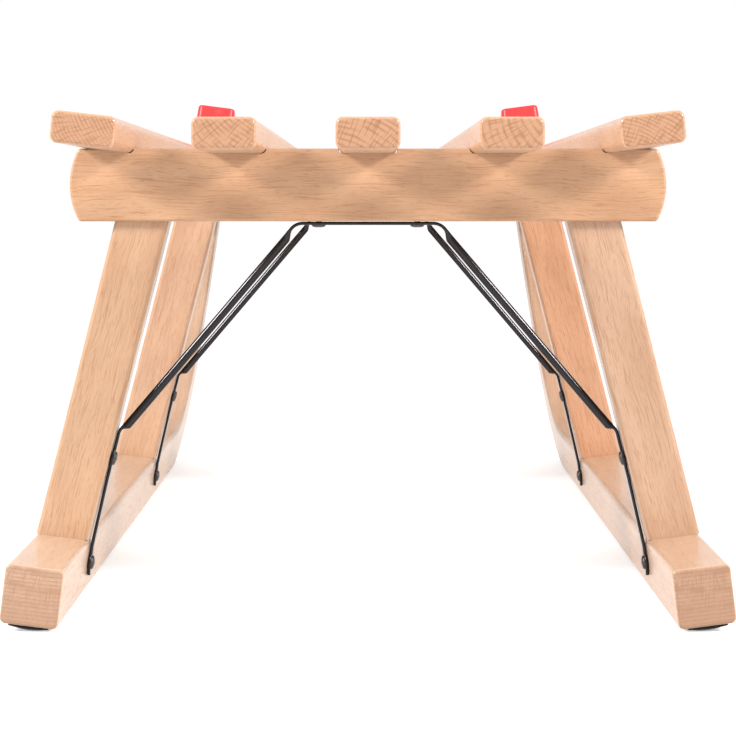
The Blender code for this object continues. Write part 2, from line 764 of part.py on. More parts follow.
RAIL_HALF_SQUARE = RAIL_DEPTH / 2 * math.cos(RAIL_LEAN)
BOLT_HEAD_SEAT = (
    RAIL_HALF_SQUARE - RAIL_HOUSING * math.cos(RAIL_LEAN) + RUNNER_THICKNESS + BAND_CROWN + 3 * FIT
)
BOLT_TAIL = -RAIL_HALF_SQUARE - FIT - NUT_HEIGHT - BOLT_PAST_NUT


def add_bolt(mesh, side, grow=0.0):
    """Round-headed bolt from the horn's front to past the nut behind the rail."""
    middle, forward = bolt_line(side)
    frame = axis_matrix(middle, forward)
    radius = BOLT_DIAMETER / 2 + grow
    if grow:
        turned(mesh, frame, [(radius, BOLT_TAIL - 0.005), (radius, BOLT_HEAD_SEAT + 0.010)], BOLT_SIDES)
        return
    head = BOLT_HEAD_DIAMETER / 2
    turned(mesh, frame, [
        (radius - 0.0006, BOLT_TAIL),
        (radius, BOLT_TAIL + 0.0006),
        (radius, BOLT_HEAD_SEAT),
        (head - 0.0004, BOLT_HEAD_SEAT),
        (head, BOLT_HEAD_SEAT + 0.0005),
        (0.80 * head, BOLT_HEAD_SEAT + 0.62 * BOLT_HEAD_HEIGHT),
        (0.35 * head, BOLT_HEAD_SEAT + BOLT_HEAD_HEIGHT),
    ], BOLT_SIDES)


def hexagon(flats):
    """A hexagon with the middle of each side marked, twelve points in all."""
    corner = flats / math.sqrt(3)
    points = []
    for side in range(12):
        radius = corner if side % 2 else flats / 2
        turn = math.tau * (side + 0.5) / 12
        points.append((radius * math.cos(turn), radius * math.sin(turn)))
    return points


def add_nut(mesh, side):
    """Hexagon nut with a round flange against the rail: a closed tube of rings round the bolt."""
    middle, forward = bolt_line(side)
    frame = axis_matrix(middle, forward)
    seat = -RAIL_HALF_SQUARE - FIT
    bore = circle(BOLT_DIAMETER / 2 + FIT, BOLT_SIDES)
    flange = circle(NUT_FLANGE_DIAMETER / 2, BOLT_SIDES)
    body = hexagon(NUT_FLATS)
    shoulder = seat - NUT_FLANGE_THICKNESS
    back = seat - NUT_HEIGHT
    outlines = ((bore, seat), (flange, seat), (flange, shoulder), (body, shoulder), (body, back), (bore, back))
    rings = [[frame @ Vector((x, y, z)) for x, y in points] for points, z in outlines]
    rows = [[mesh.verts.new(point) for point in ring] for ring in rings]
    faces = []
    for row, following in zip(rows, rows[1:] + rows[:1]):
        for index in range(len(row)):
            after = (index + 1) % len(row)
            faces.append(mesh.faces.new((row[index], row[after], following[after], following[index])))
    bmesh.ops.recalc_face_normals(mesh, faces=faces)


def make_solid(name, kind, adder, context, *details):
    mesh = bmesh.new()
    adder(mesh, *details)
    return finish(mesh, name, kind, *context)


def make_screws(prefix, names, adder, frames, sizes, context):
    for name, frame in zip(names, frames, strict=True):
        make_solid(f"{prefix}_{name}", "screw", adder, context, frame, sizes)


def make_hole_cutter(name, adder, frames, sizes, context):
    """One cutter for every hole of a kind of screw, wider than the screw by the fit."""
    mesh = bmesh.new()
    for frame in frames:
        adder(mesh, frame, sizes, FIT)
    return finish(mesh, name, "cutter", *context)


# ---------------------------------------------------------------- assembly
def make_fasteners(context):
    """The screws, bolts and nuts, and the cutters for their holes."""
    across = ("outer_left", "inner_left", "centre", "inner_right", "outer_right")
    slat_frames_used = []
    for bar, bar_y in (("rear", REAR_LEG_Y), ("middle", FRONT_LEG_Y), ("front", RAIL_Y)):
        frames = list(slat_screw_frames(bar_y))
        slat_frames_used += frames
        make_screws(f"slat_screw_{bar}", across, countersunk, frames, SLAT_SCREW, context)

    around = [f"{place}_{side}" for side, _ in SIDES for place in ("crossbar", "leg", "runner")]
    brace_frames_used = []
    for brace, leg_y in (("rear", REAR_LEG_Y), ("front", FRONT_LEG_Y)):
        frames = list(brace_screw_frames(leg_y))
        brace_frames_used += frames
        make_screws(f"{brace}_brace_screw", around, pan_head, frames, BRACE_SCREW, context)

    along = ("1", "2", "3", "bend")
    band_frames_used = []
    for side_name, side in SIDES:
        frames = list(band_screw_frames(side))
        band_frames_used += frames
        make_screws(f"band_screw_{side_name}", along, countersunk, frames, BAND_SCREW, context)

    for side_name, side in SIDES:
        make_solid(f"horn_bolt_{side_name}", "screw", add_bolt, context, side)
        make_solid(f"horn_bolt_nut_{side_name}", "screw", add_nut, context, side)
    bolt_holes = bmesh.new()
    for _, side in SIDES:
        add_bolt(bolt_holes, side, FIT)

    slat_holes = ("cut_slat_screws", countersunk, slat_frames_used, SLAT_SCREW)
    brace_holes = ("cut_brace_screws", pan_head, brace_frames_used, BRACE_SCREW)
    band_holes = ("cut_band_screws", countersunk, band_frames_used, BAND_SCREW)
    return {
        "slat": make_hole_cutter(*slat_holes, context),
        "brace": make_hole_cutter(*brace_holes, context),
        "band": make_hole_cutter(*band_holes, context),
        "bolt": finish(bolt_holes, "cut_horn_bolts", "cutter", *context),
    }


def centre_origin(datum):
    """Moves the datum so that the origin lies under the middle of the whole sledge."""
    bpy.context.view_layer.update()
    reach = [
        (item.matrix_world @ vertex.co).y
        for item in bpy.context.scene.objects
        if item.type == "MESH" and not item.hide_render
        for vertex in item.data.vertices
    ]
    datum.location.y = -(min(reach) + max(reach)) / 2


def build():
    clear_scene()
    datum = bpy.data.objects.new("runner_rear_end_datum", None)
    bpy.context.scene.collection.objects.link(datum)
    materials = {name: make_material(name) for name in COLOURS}
    context = (materials, datum)
    holes = make_fasteners(context)
    top_mortises = make_mortise_cutter("top", context)
    foot_mortises = make_mortise_cutter("foot", context)
    notches = make_notch_cutter(context)
    horn_housings = make_horn_housing_cutter(context)

    for name, frame in slat_frames():
        cut(make_slat(name, frame, context), holes["slat"])

    for name, leg_y in (("rear_crossbar", REAR_LEG_Y), ("middle_crossbar", FRONT_LEG_Y)):
        bar = make_bar(name, CROSSBAR_HALF_LENGTH, leg_y, CROSSBAR_DEPTH, 0.0, context)
        cut(bar, notches, top_mortises, holes["slat"], holes["brace"])
    rail = make_bar("front_rail", RAIL_HALF_LENGTH, RAIL_Y, RAIL_DEPTH, RAIL_LEAN, context)
    cut(rail, notches, horn_housings, holes["slat"], holes["bolt"])

    for side_name, side in SIDES:
        for place, leg_y in (("rear", REAR_LEG_Y), ("front", FRONT_LEG_Y)):
            cut(make_leg(f"{place}_leg_{side_name}", side, leg_y, context), holes["brace"])
        runner = make_runner(side_name, side, context)
        cut(runner, foot_mortises, holes["brace"], holes["band"], holes["bolt"])
        cut(make_band(side_name, side, context), holes["band"], holes["bolt"])
        make_cap(side_name, side, context)

    for name, leg_y in (("rear_brace", REAR_LEG_Y), ("front_brace", FRONT_LEG_Y)):
        cut(make_brace(name, leg_y, context), holes["brace"])
    centre_origin(datum)


build()
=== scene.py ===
"""The looks of the wooden horned sledge: fine meshes in the places of the CAD nodes, beech, steel and plastic
materials, a plain white studio and a camera straight behind the sledge.

The shapes repeat the dimensions of the CAD model in metres, with the datum at the runners' rear end
on the ground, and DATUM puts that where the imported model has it.
"""

import math

import bmesh
import bpy
from mathutils import Matrix, Vector


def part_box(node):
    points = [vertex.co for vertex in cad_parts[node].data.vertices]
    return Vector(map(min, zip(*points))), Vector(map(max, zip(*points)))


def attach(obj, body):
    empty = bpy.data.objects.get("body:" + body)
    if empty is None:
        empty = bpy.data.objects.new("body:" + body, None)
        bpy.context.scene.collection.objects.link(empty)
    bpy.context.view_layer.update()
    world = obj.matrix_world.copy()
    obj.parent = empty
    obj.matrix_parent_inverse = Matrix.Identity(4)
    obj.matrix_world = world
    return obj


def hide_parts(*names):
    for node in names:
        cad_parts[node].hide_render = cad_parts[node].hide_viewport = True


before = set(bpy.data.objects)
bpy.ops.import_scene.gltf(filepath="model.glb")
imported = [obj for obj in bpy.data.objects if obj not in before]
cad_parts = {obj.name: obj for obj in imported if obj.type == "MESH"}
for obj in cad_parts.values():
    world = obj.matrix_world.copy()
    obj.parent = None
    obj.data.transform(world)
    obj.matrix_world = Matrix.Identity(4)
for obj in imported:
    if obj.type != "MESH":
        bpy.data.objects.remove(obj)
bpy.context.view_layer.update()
DATUM = Vector((0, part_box("runner_left")[0].y, 0))

# ---------------------------------------------------------------- driving dimensions (metres, degrees)
FIT = 0.0003                       # clearance round pieces that can be told apart
GLUED = 0.00003                    # clearance in a glued or screwed joint that looks closed
RUNNER_WIDTH = 0.0298
RUNNER_THICKNESS = 0.0306
RUNNER_CORNER = 0.0032
RUNNER_END_ROUND = 0.0016
RUNNER_LEAN = math.radians(7.4)
TRACK_HALF = 0.1698
RUNNER_STRAIGHT = 0.745
TOE_BEND_RADIUS = 0.230
TOE_BEND_TURN = math.radians(50)
HORN_BEND_RADIUS = 0.265
HORN_RAKE = math.radians(79)
HORN_ABOVE_SEAT = 0.0343
LAMINATION = RUNNER_THICKNESS / 15  # thickness of one layer of the runners

BAND_WIDTH = 0.0204
BAND_EDGE = 0.0006
BAND_CROWN = 0.0023
BAND_END_SETBACK = 0.0012
BAND_TAPER = 0.004
BAND_BELOW_CAP = 0.004

CROSSBAR_UNDERSIDE = 0.2061
CROSSBAR_HEIGHT = 0.0394
CROSSBAR_DEPTH = 0.030
CROSSBAR_HALF_LENGTH = 0.1617
CROSSBAR_END_SAGITTA = 0.0049
CROSSBAR_EDGE = 0.0014
RAIL_HALF_LENGTH = 0.1690          # in the CAD model it follows the horn bolt's line
RAIL_DEPTH = 0.030
RAIL_HOUSING = 0.0030

LEG_WIDTH = 0.0287
LEG_DEPTH = 0.022
LEG_CORNER = 0.0026
LEG_TOP_HALF_SPREAD = 0.1230
REAR_LEG_Y = 0.1225
LEG_SPACING = 0.430
TENON_WIDTH = 0.015
TENON_DEPTH = 0.013
TENON_CORNER = 0.0010
TOP_TENON_LENGTH = 0.026
FOOT_TENON_LENGTH = 0.017

SLAT_WIDTH = 0.032
SLAT_THICKNESS = 0.016
SLAT_CORNER = 0.0036
SLAT_END_ROUND = 0.0018
SLAT_OVERHANG = 0.014
SLAT_HORN_GAP = 0.004
SLAT_PITCH = 0.0712
NOTCH_DEPTH = 0.0030
NOTCH_CORNER = 0.0024              # the notches are routed a little squarer than the slats
OUTER_SLAT_X = 0.1406
OUTER_SLAT_TILT = math.radians(6.5)
OUTER_SLAT_SPLAY = math.radians(0.67)

ROD_DIAMETER = 0.0046
STRAP_WIDTH = 0.0092
STRAP_THICKNESS = 0.0018
NECK_WIDTH = 0.0074
EYE_WIDTH = 0.0124
TIP_WIDTH = 0.0064
BRACE_TOP_HALF = 0.0399
BRACE_KNEE_Z = 0.0914
BRACE_TOP_BEND = 0.0090
BRACE_KNEE_BEND = 0.0070
BRACE_FOOT_BEND = 0.0080
ROD_AFTER_TOP = (0.0046, 0.0110)
ROD_BEFORE_KNEE = (0.0052, 0.0018)
LEG_STRAP_DROP = 0.0270
RUNNER_STRAP_TOP = 0.0266
RUNNER_STRAP_TIP = 0.0100
BRACE_CENTRE_SCREW_X = 0.0270
LEG_SCREW_DROP = 0.0160
RUNNER_SCREW_RISE = 0.0072

# Head diameter, head height, shank diameter, length under the head
SLAT_SCREW = (0.0084, 0.0022, 0.0042, 0.0300)
BRACE_SCREW = (0.0078, 0.0014, 0.0034, 0.0110)
BAND_SCREW = (0.0066, 0.0018, 0.0032, 0.0150)
SCREW_POINT = 0.0030
SLAT_SCREW_SINK = 0.0004
BAND_SCREW_SINK = 0.0003
BAND_SCREW_INSET = 0.040
BAND_SCREW_COUNT = 3
BAND_BEND_SCREW_Z = 0.120
CAD_BEND_STEP = math.radians(6)    # the bend screw stands on one of the CAD model's stations
BOLT_HEAD_DIAMETER = 0.0150
BOLT_HEAD_HEIGHT = 0.0036
BOLT_DIAMETER = 0.0060
NUT_FLATS = 0.0100
NUT_HEIGHT = 0.0060
NUT_FLANGE_DIAMETER = 0.0150
NUT_FLANGE_THICKNESS = 0.0014
BOLT_PAST_NUT = 0.0025
THREAD_PITCH = 0.0010

CAP_WALL = 0.0024
CAP_LENGTH = 0.038
CAP_DRAFT = 0.0012
CAP_CORNER = 0.0046
CAP_TOP_WALL = 0.0026
CAP_TOP_ROUND = 0.0022

CORNER_STEPS = 6
END_STEPS = 4
BEND_STEP = math.radians(2)
ROUND_SIDES = 32
SHARP_ANGLE = math.radians(35)

# ---------------------------------------------------------------- sizes that follow from those
SLAT_BASE_Z = CROSSBAR_UNDERSIDE + CROSSBAR_HEIGHT - NOTCH_DEPTH + FIT
SEAT_TOP_Z = SLAT_BASE_Z + SLAT_THICKNESS
CROSSBAR_MIDDLE_Z = CROSSBAR_UNDERSIDE + CROSSBAR_HEIGHT / 2
FRONT_LEG_Y = REAR_LEG_Y + LEG_SPACING
SIDES = (("left", -1), ("right", 1))
UP = Vector((0, 0, 1))


# ---------------------------------------------------------------- mesh helpers
def rounded_rectangle(width, height, radius, steps=CORNER_STEPS):
    """Points of a rounded rectangle round its middle, anticlockwise."""
    radius = min(radius, 0.499 * width, 0.499 * height)
    points = []
    for quarter, (across, up) in enumerate(((1, -1), (1, 1), (-1, 1), (-1, -1))):
        for step in range(steps + 1):
            angle = math.radians(90) * (quarter - 1 + step / steps)
            points.append((
                across * (width / 2 - radius) + radius * math.cos(angle),
                up * (height / 2 - radius) + radius * math.sin(angle),
            ))
    return points


def circle(radius, sides=ROUND_SIDES):
    turns = [math.tau * side / sides for side in range(sides)]
    return [(radius * math.cos(turn), radius * math.sin(turn)) for turn in turns]


def loft(mesh, rings, closed=False):
    """Adds one closed body: rings of equal length joined in order, with its ends filled or joined."""
    rows = [[mesh.verts.new(point) for point in ring] for ring in rings]
    pairs = list(zip(rows, rows[1:]))
    if closed:
        pairs.append((rows[-1], rows[0]))
    faces = []
    for row, following in pairs:
        for index in range(len(row)):
            after = (index + 1) % len(row)
            faces.append(mesh.faces.new((row[index], row[after], following[after], following[index])))
    if not closed:
        faces.append(mesh.faces.new(rows[0][::-1]))
        faces.append(mesh.faces.new(rows[-1]))
    bmesh.ops.recalc_face_normals(mesh, faces=faces)


def axis_matrix(point, direction):
    """A frame at point whose +Z is direction."""
    turn = UP.rotation_difference(Vector(direction).normalized())
    return Matrix.Translation(point) @ turn.to_matrix().to_4x4()


def turned(mesh, profile, matrix=None, sides=ROUND_SIDES):
    """Adds a solid of revolution: profile is (radius, distance) pairs along the matrix's +Z."""
    matrix = matrix or Matrix.Identity(4)
    loft(mesh, [[matrix @ Vector((x, y, z)) for x, y in circle(r, sides)] for r, z in profile])


def end_round(radius, steps=END_STEPS):
    """(distance, inset) pairs that round off a bar's end."""
    turns = [math.radians(90) * step / steps for step in range(steps + 1)]
    return [(radius * (1 - math.sin(turn)), radius * (1 - math.cos(turn))) for turn in reversed(turns)]


def new_object(name, mesh, matrix=None):
    data = bpy.data.meshes.new(name)
    mesh.to_mesh(data)
    mesh.free()
    made = bpy.data.objects.new(name, data)
    bpy.context.scene.collection.objects.link(made)
    made.matrix_world = Matrix.Translation(DATUM) @ (matrix or Matrix.Identity(4))
    return made


def settle(made):
    """Replaces the mesh by what its modifiers make of it."""
    bpy.context.view_layer.update()
    evaluated = made.evaluated_get(bpy.context.evaluated_depsgraph_get())
    data = bpy.data.meshes.new_from_object(evaluated)
    made.modifiers.clear()
    made.data = data


def carve(made, *cutters):
    for cutter in cutters:
        boolean = made.modifiers.new(cutter.name, "BOOLEAN")
        boolean.solver = "EXACT"
        boolean.object = cutter
    settle(made)


def show(made, nodes, material):
    """Gives a piece its finish and lets it stand for its CAD node."""
    made.data.shade_smooth()
    made.data.set_sharp_from_angle(angle=SHARP_ANGLE)
    even = made.modifiers.new("flat faces stay flat", "WEIGHTED_NORMAL")
    even.keep_sharp = True
    made.data.materials.clear()
    made.data.materials.append(material)
    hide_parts(*nodes)
    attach(made, "root")
    return made


def discard(*cutters):
    for cutter in cutters:
        bpy.data.objects.remove(cutter, do_unlink=True)


# ---------------------------------------------------------------- runner geometry
def band_section(grow=0.0, steps=18):
    """Band section as (across, depth) pairs, depth measured from the runner's under side into the wood."""
    half = BAND_WIDTH / 2 + grow
    rise = BAND_CROWN - BAND_EDGE
    radius = (half * half + rise * rise) / (2 * rise)
    reach = math.asin(half / radius)
    points = [(-half, -FIT + grow), (half, -FIT + grow)]
    for step in range(steps + 1):
        angle = reach * (1 - 2 * step / steps)
        outward = FIT + BAND_EDGE + rise - radius + radius * math.cos(angle)
        points.append((radius * math.sin(angle), -outward - grow))
    return points


def lean_point(side, along, rise, across):
    """A point in one runner's leaning plane: rise up the plane from the under side, across it outwards."""
    cosine = math.cos(RUNNER_LEAN)
    sine = math.sin(RUNNER_LEAN)
    return Vector((
        side * (RUNNER_BASE_X - rise * sine + across * cosine),
        along,
        RUNNER_BASE_Z + rise * cosine + across * sine,
    ))


RUNNER_BASE_Z = max(
    -depth * math.cos(RUNNER_LEAN) - across * math.sin(RUNNER_LEAN)
    for across, depth in band_section(steps=8)
)
RUNNER_BASE_X = TRACK_HALF + RUNNER_THICKNESS / 2 * math.sin(RUNNER_LEAN)


def plane_rise(height):
    """Distance up the leaning plane, on its middle line, at a height above the ground."""
    return (height - RUNNER_BASE_Z) / math.cos(RUNNER_LEAN)


def bend_stations(largest_step):
    """The runner's under side as (along, rise, slope) stations, from the rear end to the top of the bend."""
    stations = [(0.0, 0.0, 0.0), (RUNNER_STRAIGHT, 0.0, 0.0)]
    bends = ((TOE_BEND_RADIUS, TOE_BEND_TURN), (HORN_BEND_RADIUS, HORN_RAKE - TOE_BEND_TURN))
    for radius, turn in bends:
        along, rise, first = stations[-1]
        steps = max(2, round(turn / largest_step))
        for step in range(1, steps + 1):
            slope = first + turn * step / steps
            stations.append((
                along + radius * (math.sin(slope) - math.sin(first)),
                rise + radius * (math.cos(first) - math.cos(slope)),
                slope,
            ))
    return stations


BEND = bend_stations(BEND_STEP)


def up_the_horn(distance):
    """A station on the straight horn, a distance past the top of the bend."""
    along, rise, slope = BEND[-1]
    return (along + distance * math.cos(slope), rise + distance * math.sin(slope), slope)


HORN_TIP_RISE = plane_rise(SEAT_TOP_Z + HORN_ABOVE_SEAT)
HORN_LENGTH = (
    HORN_TIP_RISE - BEND[-1][1] - RUNNER_THICKNESS / 2 * math.cos(HORN_RAKE)
) / math.sin(HORN_RAKE)


def runner_ring(side, station, points):
    """A section ring at a station: points are (across, depth) pairs from the runner's under side."""
    along, rise, slope = station
    return [
        lean_point(side, along - depth * math.sin(slope), rise + depth * math.cos(slope), across)
        for across, depth in points
    ]


def runner_section(grow=0.0, corner=RUNNER_CORNER):
    return [
        (across, depth + RUNNER_THICKNESS / 2)
        for across, depth in rounded_rectangle(
            RUNNER_WIDTH + 2 * grow, RUNNER_THICKNESS + 2 * grow, corner + grow
        )
    ]


def horn_back_y(height):
    """Where the horn's rear face is, on its middle line, at a height above the ground."""
    target = plane_rise(height)
    coarse = bend_stations(CAD_BEND_STEP)
    back = [
        (y - RUNNER_THICKNESS * math.sin(slope), rise + RUNNER_THICKNESS * math.cos(slope))
        for y, rise, slope in [*coarse, up_the_horn(HORN_LENGTH)]
    ]
    for (y_low, low), (y_high, high) in zip(back[1:], back[2:]):
        if low <= target <= high:
            return y_low + (y_high - y_low) * (target - low) / (high - low)
    return back[-1][0]


def add_grain(mesh, side, rings):
    """Stores each point's place in the bar (across, along, depth), for wood that follows the bend."""
    layer = mesh.verts.layers.float_vector.new("grain")
    mesh.verts.ensure_lookup_table()
    index = 0
    for distance, points in rings:
        for across, depth in points:
            mesh.verts[index][layer] = (side * across, distance, depth)
            index += 1


def make_runner(side_name, side, material):
    stations = []
    ends = end_round(RUNNER_END_ROUND)
    for distance, inset in ends:
        stations.append(((distance, 0.0, 0.0), distance, runner_section(-inset)))
    travelled = 0.0
    before = (0.0, 0.0, 0.0)
    for station in BEND[1:]:
        travelled += math.hypot(station[0] - before[0], station[1] - before[1])
        before = station
        stations.append((station, travelled, runner_section()))
    for distance, inset in reversed(ends):
        reach = HORN_LENGTH - distance
        stations.append((up_the_horn(reach), travelled + reach, runner_section(-inset)))
    mesh = bmesh.new()
    loft(mesh, [runner_ring(side, station, points) for station, _, points in stations])
    add_grain(mesh, side, [(distance, points) for _, distance, points in stations])
    made = new_object(f"runner_wood_{side_name}", mesh)
    return show(made, [f"runner_{side_name}"], material)


def make_band(side_name, side, holes, material):
    mesh = bmesh.new()
    top = HORN_LENGTH - (CAP_LENGTH - CAP_TOP_WALL) - BAND_BELOW_CAP
    thin = [(across, -FIT + (depth + FIT) * 0.45) for across, depth in band_section()]
    stations = [((BAND_END_SETBACK, 0.0, 0.0), thin), ((BAND_END_SETBACK + BAND_TAPER, 0.0, 0.0), None)]
    stations += [(station, None) for station in BEND[1:]]
    stations += [(up_the_horn(top - BAND_TAPER), None), (up_the_horn(top), thin)]
    loft(mesh, [runner_ring(side, station, points or band_section()) for station, points in stations])
    made = new_object(f"runner_band_strip_{side_name}", mesh)
    carve(made, holes)
    return show(made, [f"runner_band_{side_name}"], material)


def make_cap(side_name, side, material):
    mesh = bmesh.new()
    top = HORN_LENGTH + FIT + CAP_TOP_WALL
    rim = top - CAP_LENGTH
    rim_round = 0.0006
    top_grow = CAP_WALL - CAP_DRAFT

    def ring(distance, grow, corner):
        points = rounded_rectangle(
            RUNNER_WIDTH + 2 * grow, RUNNER_THICKNESS + 2 * grow, corner, steps=10
        )
        points = [(across, depth + RUNNER_THICKNESS / 2) for across, depth in points]
        return runner_ring(side, up_the_horn(distance), points)

    rings = [
        ring(HORN_LENGTH + FIT, FIT, RUNNER_CORNER + FIT),
        ring(rim, FIT, RUNNER_CORNER + FIT),
        ring(rim, CAP_WALL - rim_round, CAP_CORNER - rim_round),
        ring(rim + rim_round, CAP_WALL, CAP_CORNER),
    ]
    steps = 8
    for step in range(steps + 1):
        turn = math.radians(90) * step / steps
        inset = CAP_TOP_ROUND * (1 - math.cos(turn))
        distance = top - CAP_TOP_ROUND * (1 - math.sin(turn))
        rings.append(ring(distance, top_grow - inset, CAP_CORNER - inset))
    loft(mesh, rings)
    made = new_object(f"horn_cap_moulding_{side_name}", mesh)
    return show(made, [f"horn_cap_{side_name}"], material)


# ---------------------------------------------------------------- crossbars, rail and slats
def bar_outline(half_length):
    """Front outline of a crossbar round its middle: level top and bottom, both ends rounded by one arc."""
    half_height = CROSSBAR_HEIGHT / 2
    sagitta = CROSSBAR_END_SAGITTA
    radius = (half_height ** 2 + sagitta ** 2) / (2 * sagitta)
    reach = math.asin(half_height / radius)
    steps = 20
    outline = []
    for side in (1, -1):
        for step in range(steps + 1):
            angle = reach * (2 * step / steps - 1)
            outline.append((
                side * (half_length - radius + radius * math.cos(angle)),
                side * radius * math.sin(angle),
            ))
    return outline


RAIL_LEAN = math.pi / 2 - HORN_RAKE
RAIL_Y = horn_back_y(CROSSBAR_MIDDLE_Z) + RAIL_HOUSING - RAIL_DEPTH / 2


def make_bar(node, half_length, middle_y, depth, rake, cutters, material):
    mesh = bmesh.new()
    loft(mesh, [
        [Vector((x, face * depth + z * math.tan(rake), z)) for x, z in bar_outline(half_length)]
        for face in (-0.5, 0.5)
    ])
    made = new_object(f"{node}_wood", mesh, Matrix.Translation((0, middle_y, CROSSBAR_MIDDLE_Z)))
    bevel = made.modifiers.new("edges", "BEVEL")
    bevel.width = CROSSBAR_EDGE
    bevel.segments = 4
    bevel.limit_method = "ANGLE"
    bevel.angle_limit = SHARP_ANGLE
    made.modifiers.new("flat faces before the cuts", "TRIANGULATE")
    carve(made, *cutters)
    return show(made, [node], material)


def slat_frames():
    """Name and frame of each slat, left to right: origin at the rear end's centre, +Y along, +Z its top."""
    level_z = SLAT_BASE_Z + SLAT_THICKNESS / 2
    drop = SLAT_WIDTH / 2 * math.sin(OUTER_SLAT_TILT) + SLAT_THICKNESS / 2 * math.cos(OUTER_SLAT_TILT)
    rows = [
        ("outer_left", -OUTER_SLAT_X, SLAT_BASE_Z + drop, -1),
        ("inner_left", -SLAT_PITCH, level_z, 0),
        ("centre", 0.0, level_z, 0),
        ("inner_right", SLAT_PITCH, level_z, 0),
        ("outer_right", OUTER_SLAT_X, SLAT_BASE_Z + drop, 1),
    ]
    for name, x, z, lean in rows:
        splay = Matrix.Rotation(-lean * OUTER_SLAT_SPLAY, 4, "Z")
        tilt = Matrix.Rotation(-lean * OUTER_SLAT_TILT, 4, "Y")
        yield name, Matrix.Translation((x, -SLAT_OVERHANG, z)) @ splay @ tilt


SLAT_LENGTH = SLAT_OVERHANG + horn_back_y(SLAT_BASE_Z) - SLAT_HORN_GAP


def make_slat(name, matrix, holes, material):
    mesh = bmesh.new()
    ends = end_round(SLAT_END_ROUND)
    stations = ends + [(SLAT_LENGTH - distance, inset) for distance, inset in reversed(ends)]
    rings = []
    for along, inset in stations:
        section = rounded_rectangle(
            SLAT_WIDTH - 2 * inset, SLAT_THICKNESS - 2 * inset, SLAT_CORNER - inset
        )
        rings.append([Vector((x, along, z)) for x, z in section])
    loft(mesh, rings)
    made = new_object(f"seat_slat_wood_{name}", mesh, matrix)
    carve(made, holes)
    return show(made, [f"seat_slat_{name}"], material)


def make_notch_cutter():
    mesh = bmesh.new()
    headroom = 0.030
    floor = -SLAT_THICKNESS / 2 - GLUED
    height = headroom - floor
    outline = rounded_rectangle(SLAT_WIDTH + 2 * GLUED, height, NOTCH_CORNER)
    for _, matrix in slat_frames():
        ends = (-headroom, SLAT_LENGTH + headroom)
        loft(mesh, [
            [matrix @ Vector((x, along, z + floor + height / 2)) for x, z in outline] for along in ends
        ])
    return new_object("cut_notches", mesh)


def make_housing_cutter():
    mesh = bmesh.new()
    for _, side in SIDES:
        stations = [*BEND[len(BEND) // 2:], up_the_horn(HORN_LENGTH)]
        loft(mesh, [runner_ring(side, station, runner_section(FIT)) for station in stations])
    return new_object("cut_housings", mesh)


# ---------------------------------------------------------------- legs
def leg_axis(side, leg_y):
    foot = lean_point(side, leg_y, RUNNER_THICKNESS, 0.0)
    top = Vector((side * LEG_TOP_HALF_SPREAD, leg_y, CROSSBAR_UNDERSIDE))
    return foot, top


def make_leg(node, side, leg_y, material):
    """A splayed leg with a tenon at each end, its shoulders cut to the crossbar and to the runner."""
    foot, top = leg_axis(side, leg_y)
    up = (top - foot).normalized()
    forward = Vector((0, 1, 0))
    matrix = Matrix.Translation(foot) @ Matrix((forward.cross(up), forward, up)).transposed().to_4x4()
    level = matrix.to_3x3().inverted() @ UP
    on_runner = matrix.to_3x3().inverted() @ Vector((-side * math.sin(RUNNER_LEAN), 0, math.cos(RUNNER_LEAN)))
    length = (top - foot).length

    def ring(points, distance, normal):
        return [Vector((x, y, distance - (x * normal.x + y * normal.y) / normal.z)) for x, y in points]

    body = rounded_rectangle(LEG_WIDTH, LEG_DEPTH, LEG_CORNER)
    tenon = rounded_rectangle(TENON_WIDTH, TENON_DEPTH, TENON_CORNER)
    mesh = bmesh.new()
    loft(mesh, [
        ring(tenon, -FOOT_TENON_LENGTH, on_runner),
        ring(tenon, GLUED, on_runner),
        ring(body, GLUED, on_runner),
        ring(body, length - GLUED, level),
        ring(tenon, length - GLUED, level),
        ring(tenon, length + TOP_TENON_LENGTH, level),
    ])
    made = new_object(f"{node}_wood", mesh, matrix)
    return show(made, [node], material)


# ---------------------------------------------------------------- braces
def brace_corners():
    """The brace's corners on its right half, (x, z) on its wood side, and each bend's radius."""
    foot, top = leg_axis(1, 0.0)
    up = Vector((top.x - foot.x, top.z - foot.z)).normalized()
    inward = Vector((-up.y, up.x))
    leg_face = Vector((foot.x, foot.z)) + inward * (LEG_WIDTH / 2 + FIT)
    knee = leg_face + up * ((BRACE_KNEE_Z - leg_face.y) / up.y)

    def on_runner(rise):
        point = lean_point(1, 0.0, rise, -RUNNER_WIDTH / 2 - FIT)
        return Vector((point.x, point.z))

    strap_z = CROSSBAR_UNDERSIDE - FIT
    return [
        (Vector((0.0, strap_z)), 0.0),
        (Vector((BRACE_TOP_HALF, strap_z)), BRACE_TOP_BEND),
        (knee, BRACE_KNEE_BEND),
        (knee - up * LEG_STRAP_DROP, BRACE_FOOT_BEND),
        (on_runner(RUNNER_STRAP_TOP), BRACE_FOOT_BEND),
        (on_runner(RUNNER_STRAP_TIP), 0.0),
    ]


def corner_arc(before, here, after, radius):
    """(point, direction) stations round one corner of the brace's line."""
    first = (here - before).normalized()
    last = (after - here).normalized()
    turn = first.angle(last)
    start = here - first * radius * math.tan(turn / 2)
    steps = max(2, round(turn / math.radians(6)))
    arc = []
    for step in range(steps + 1):
        share = step / steps
        chord = 2 * radius * math.sin(turn * share / 2)
        arc.append((start + first.slerp(last, share / 2) * chord, first.slerp(last, share)))
    return arc


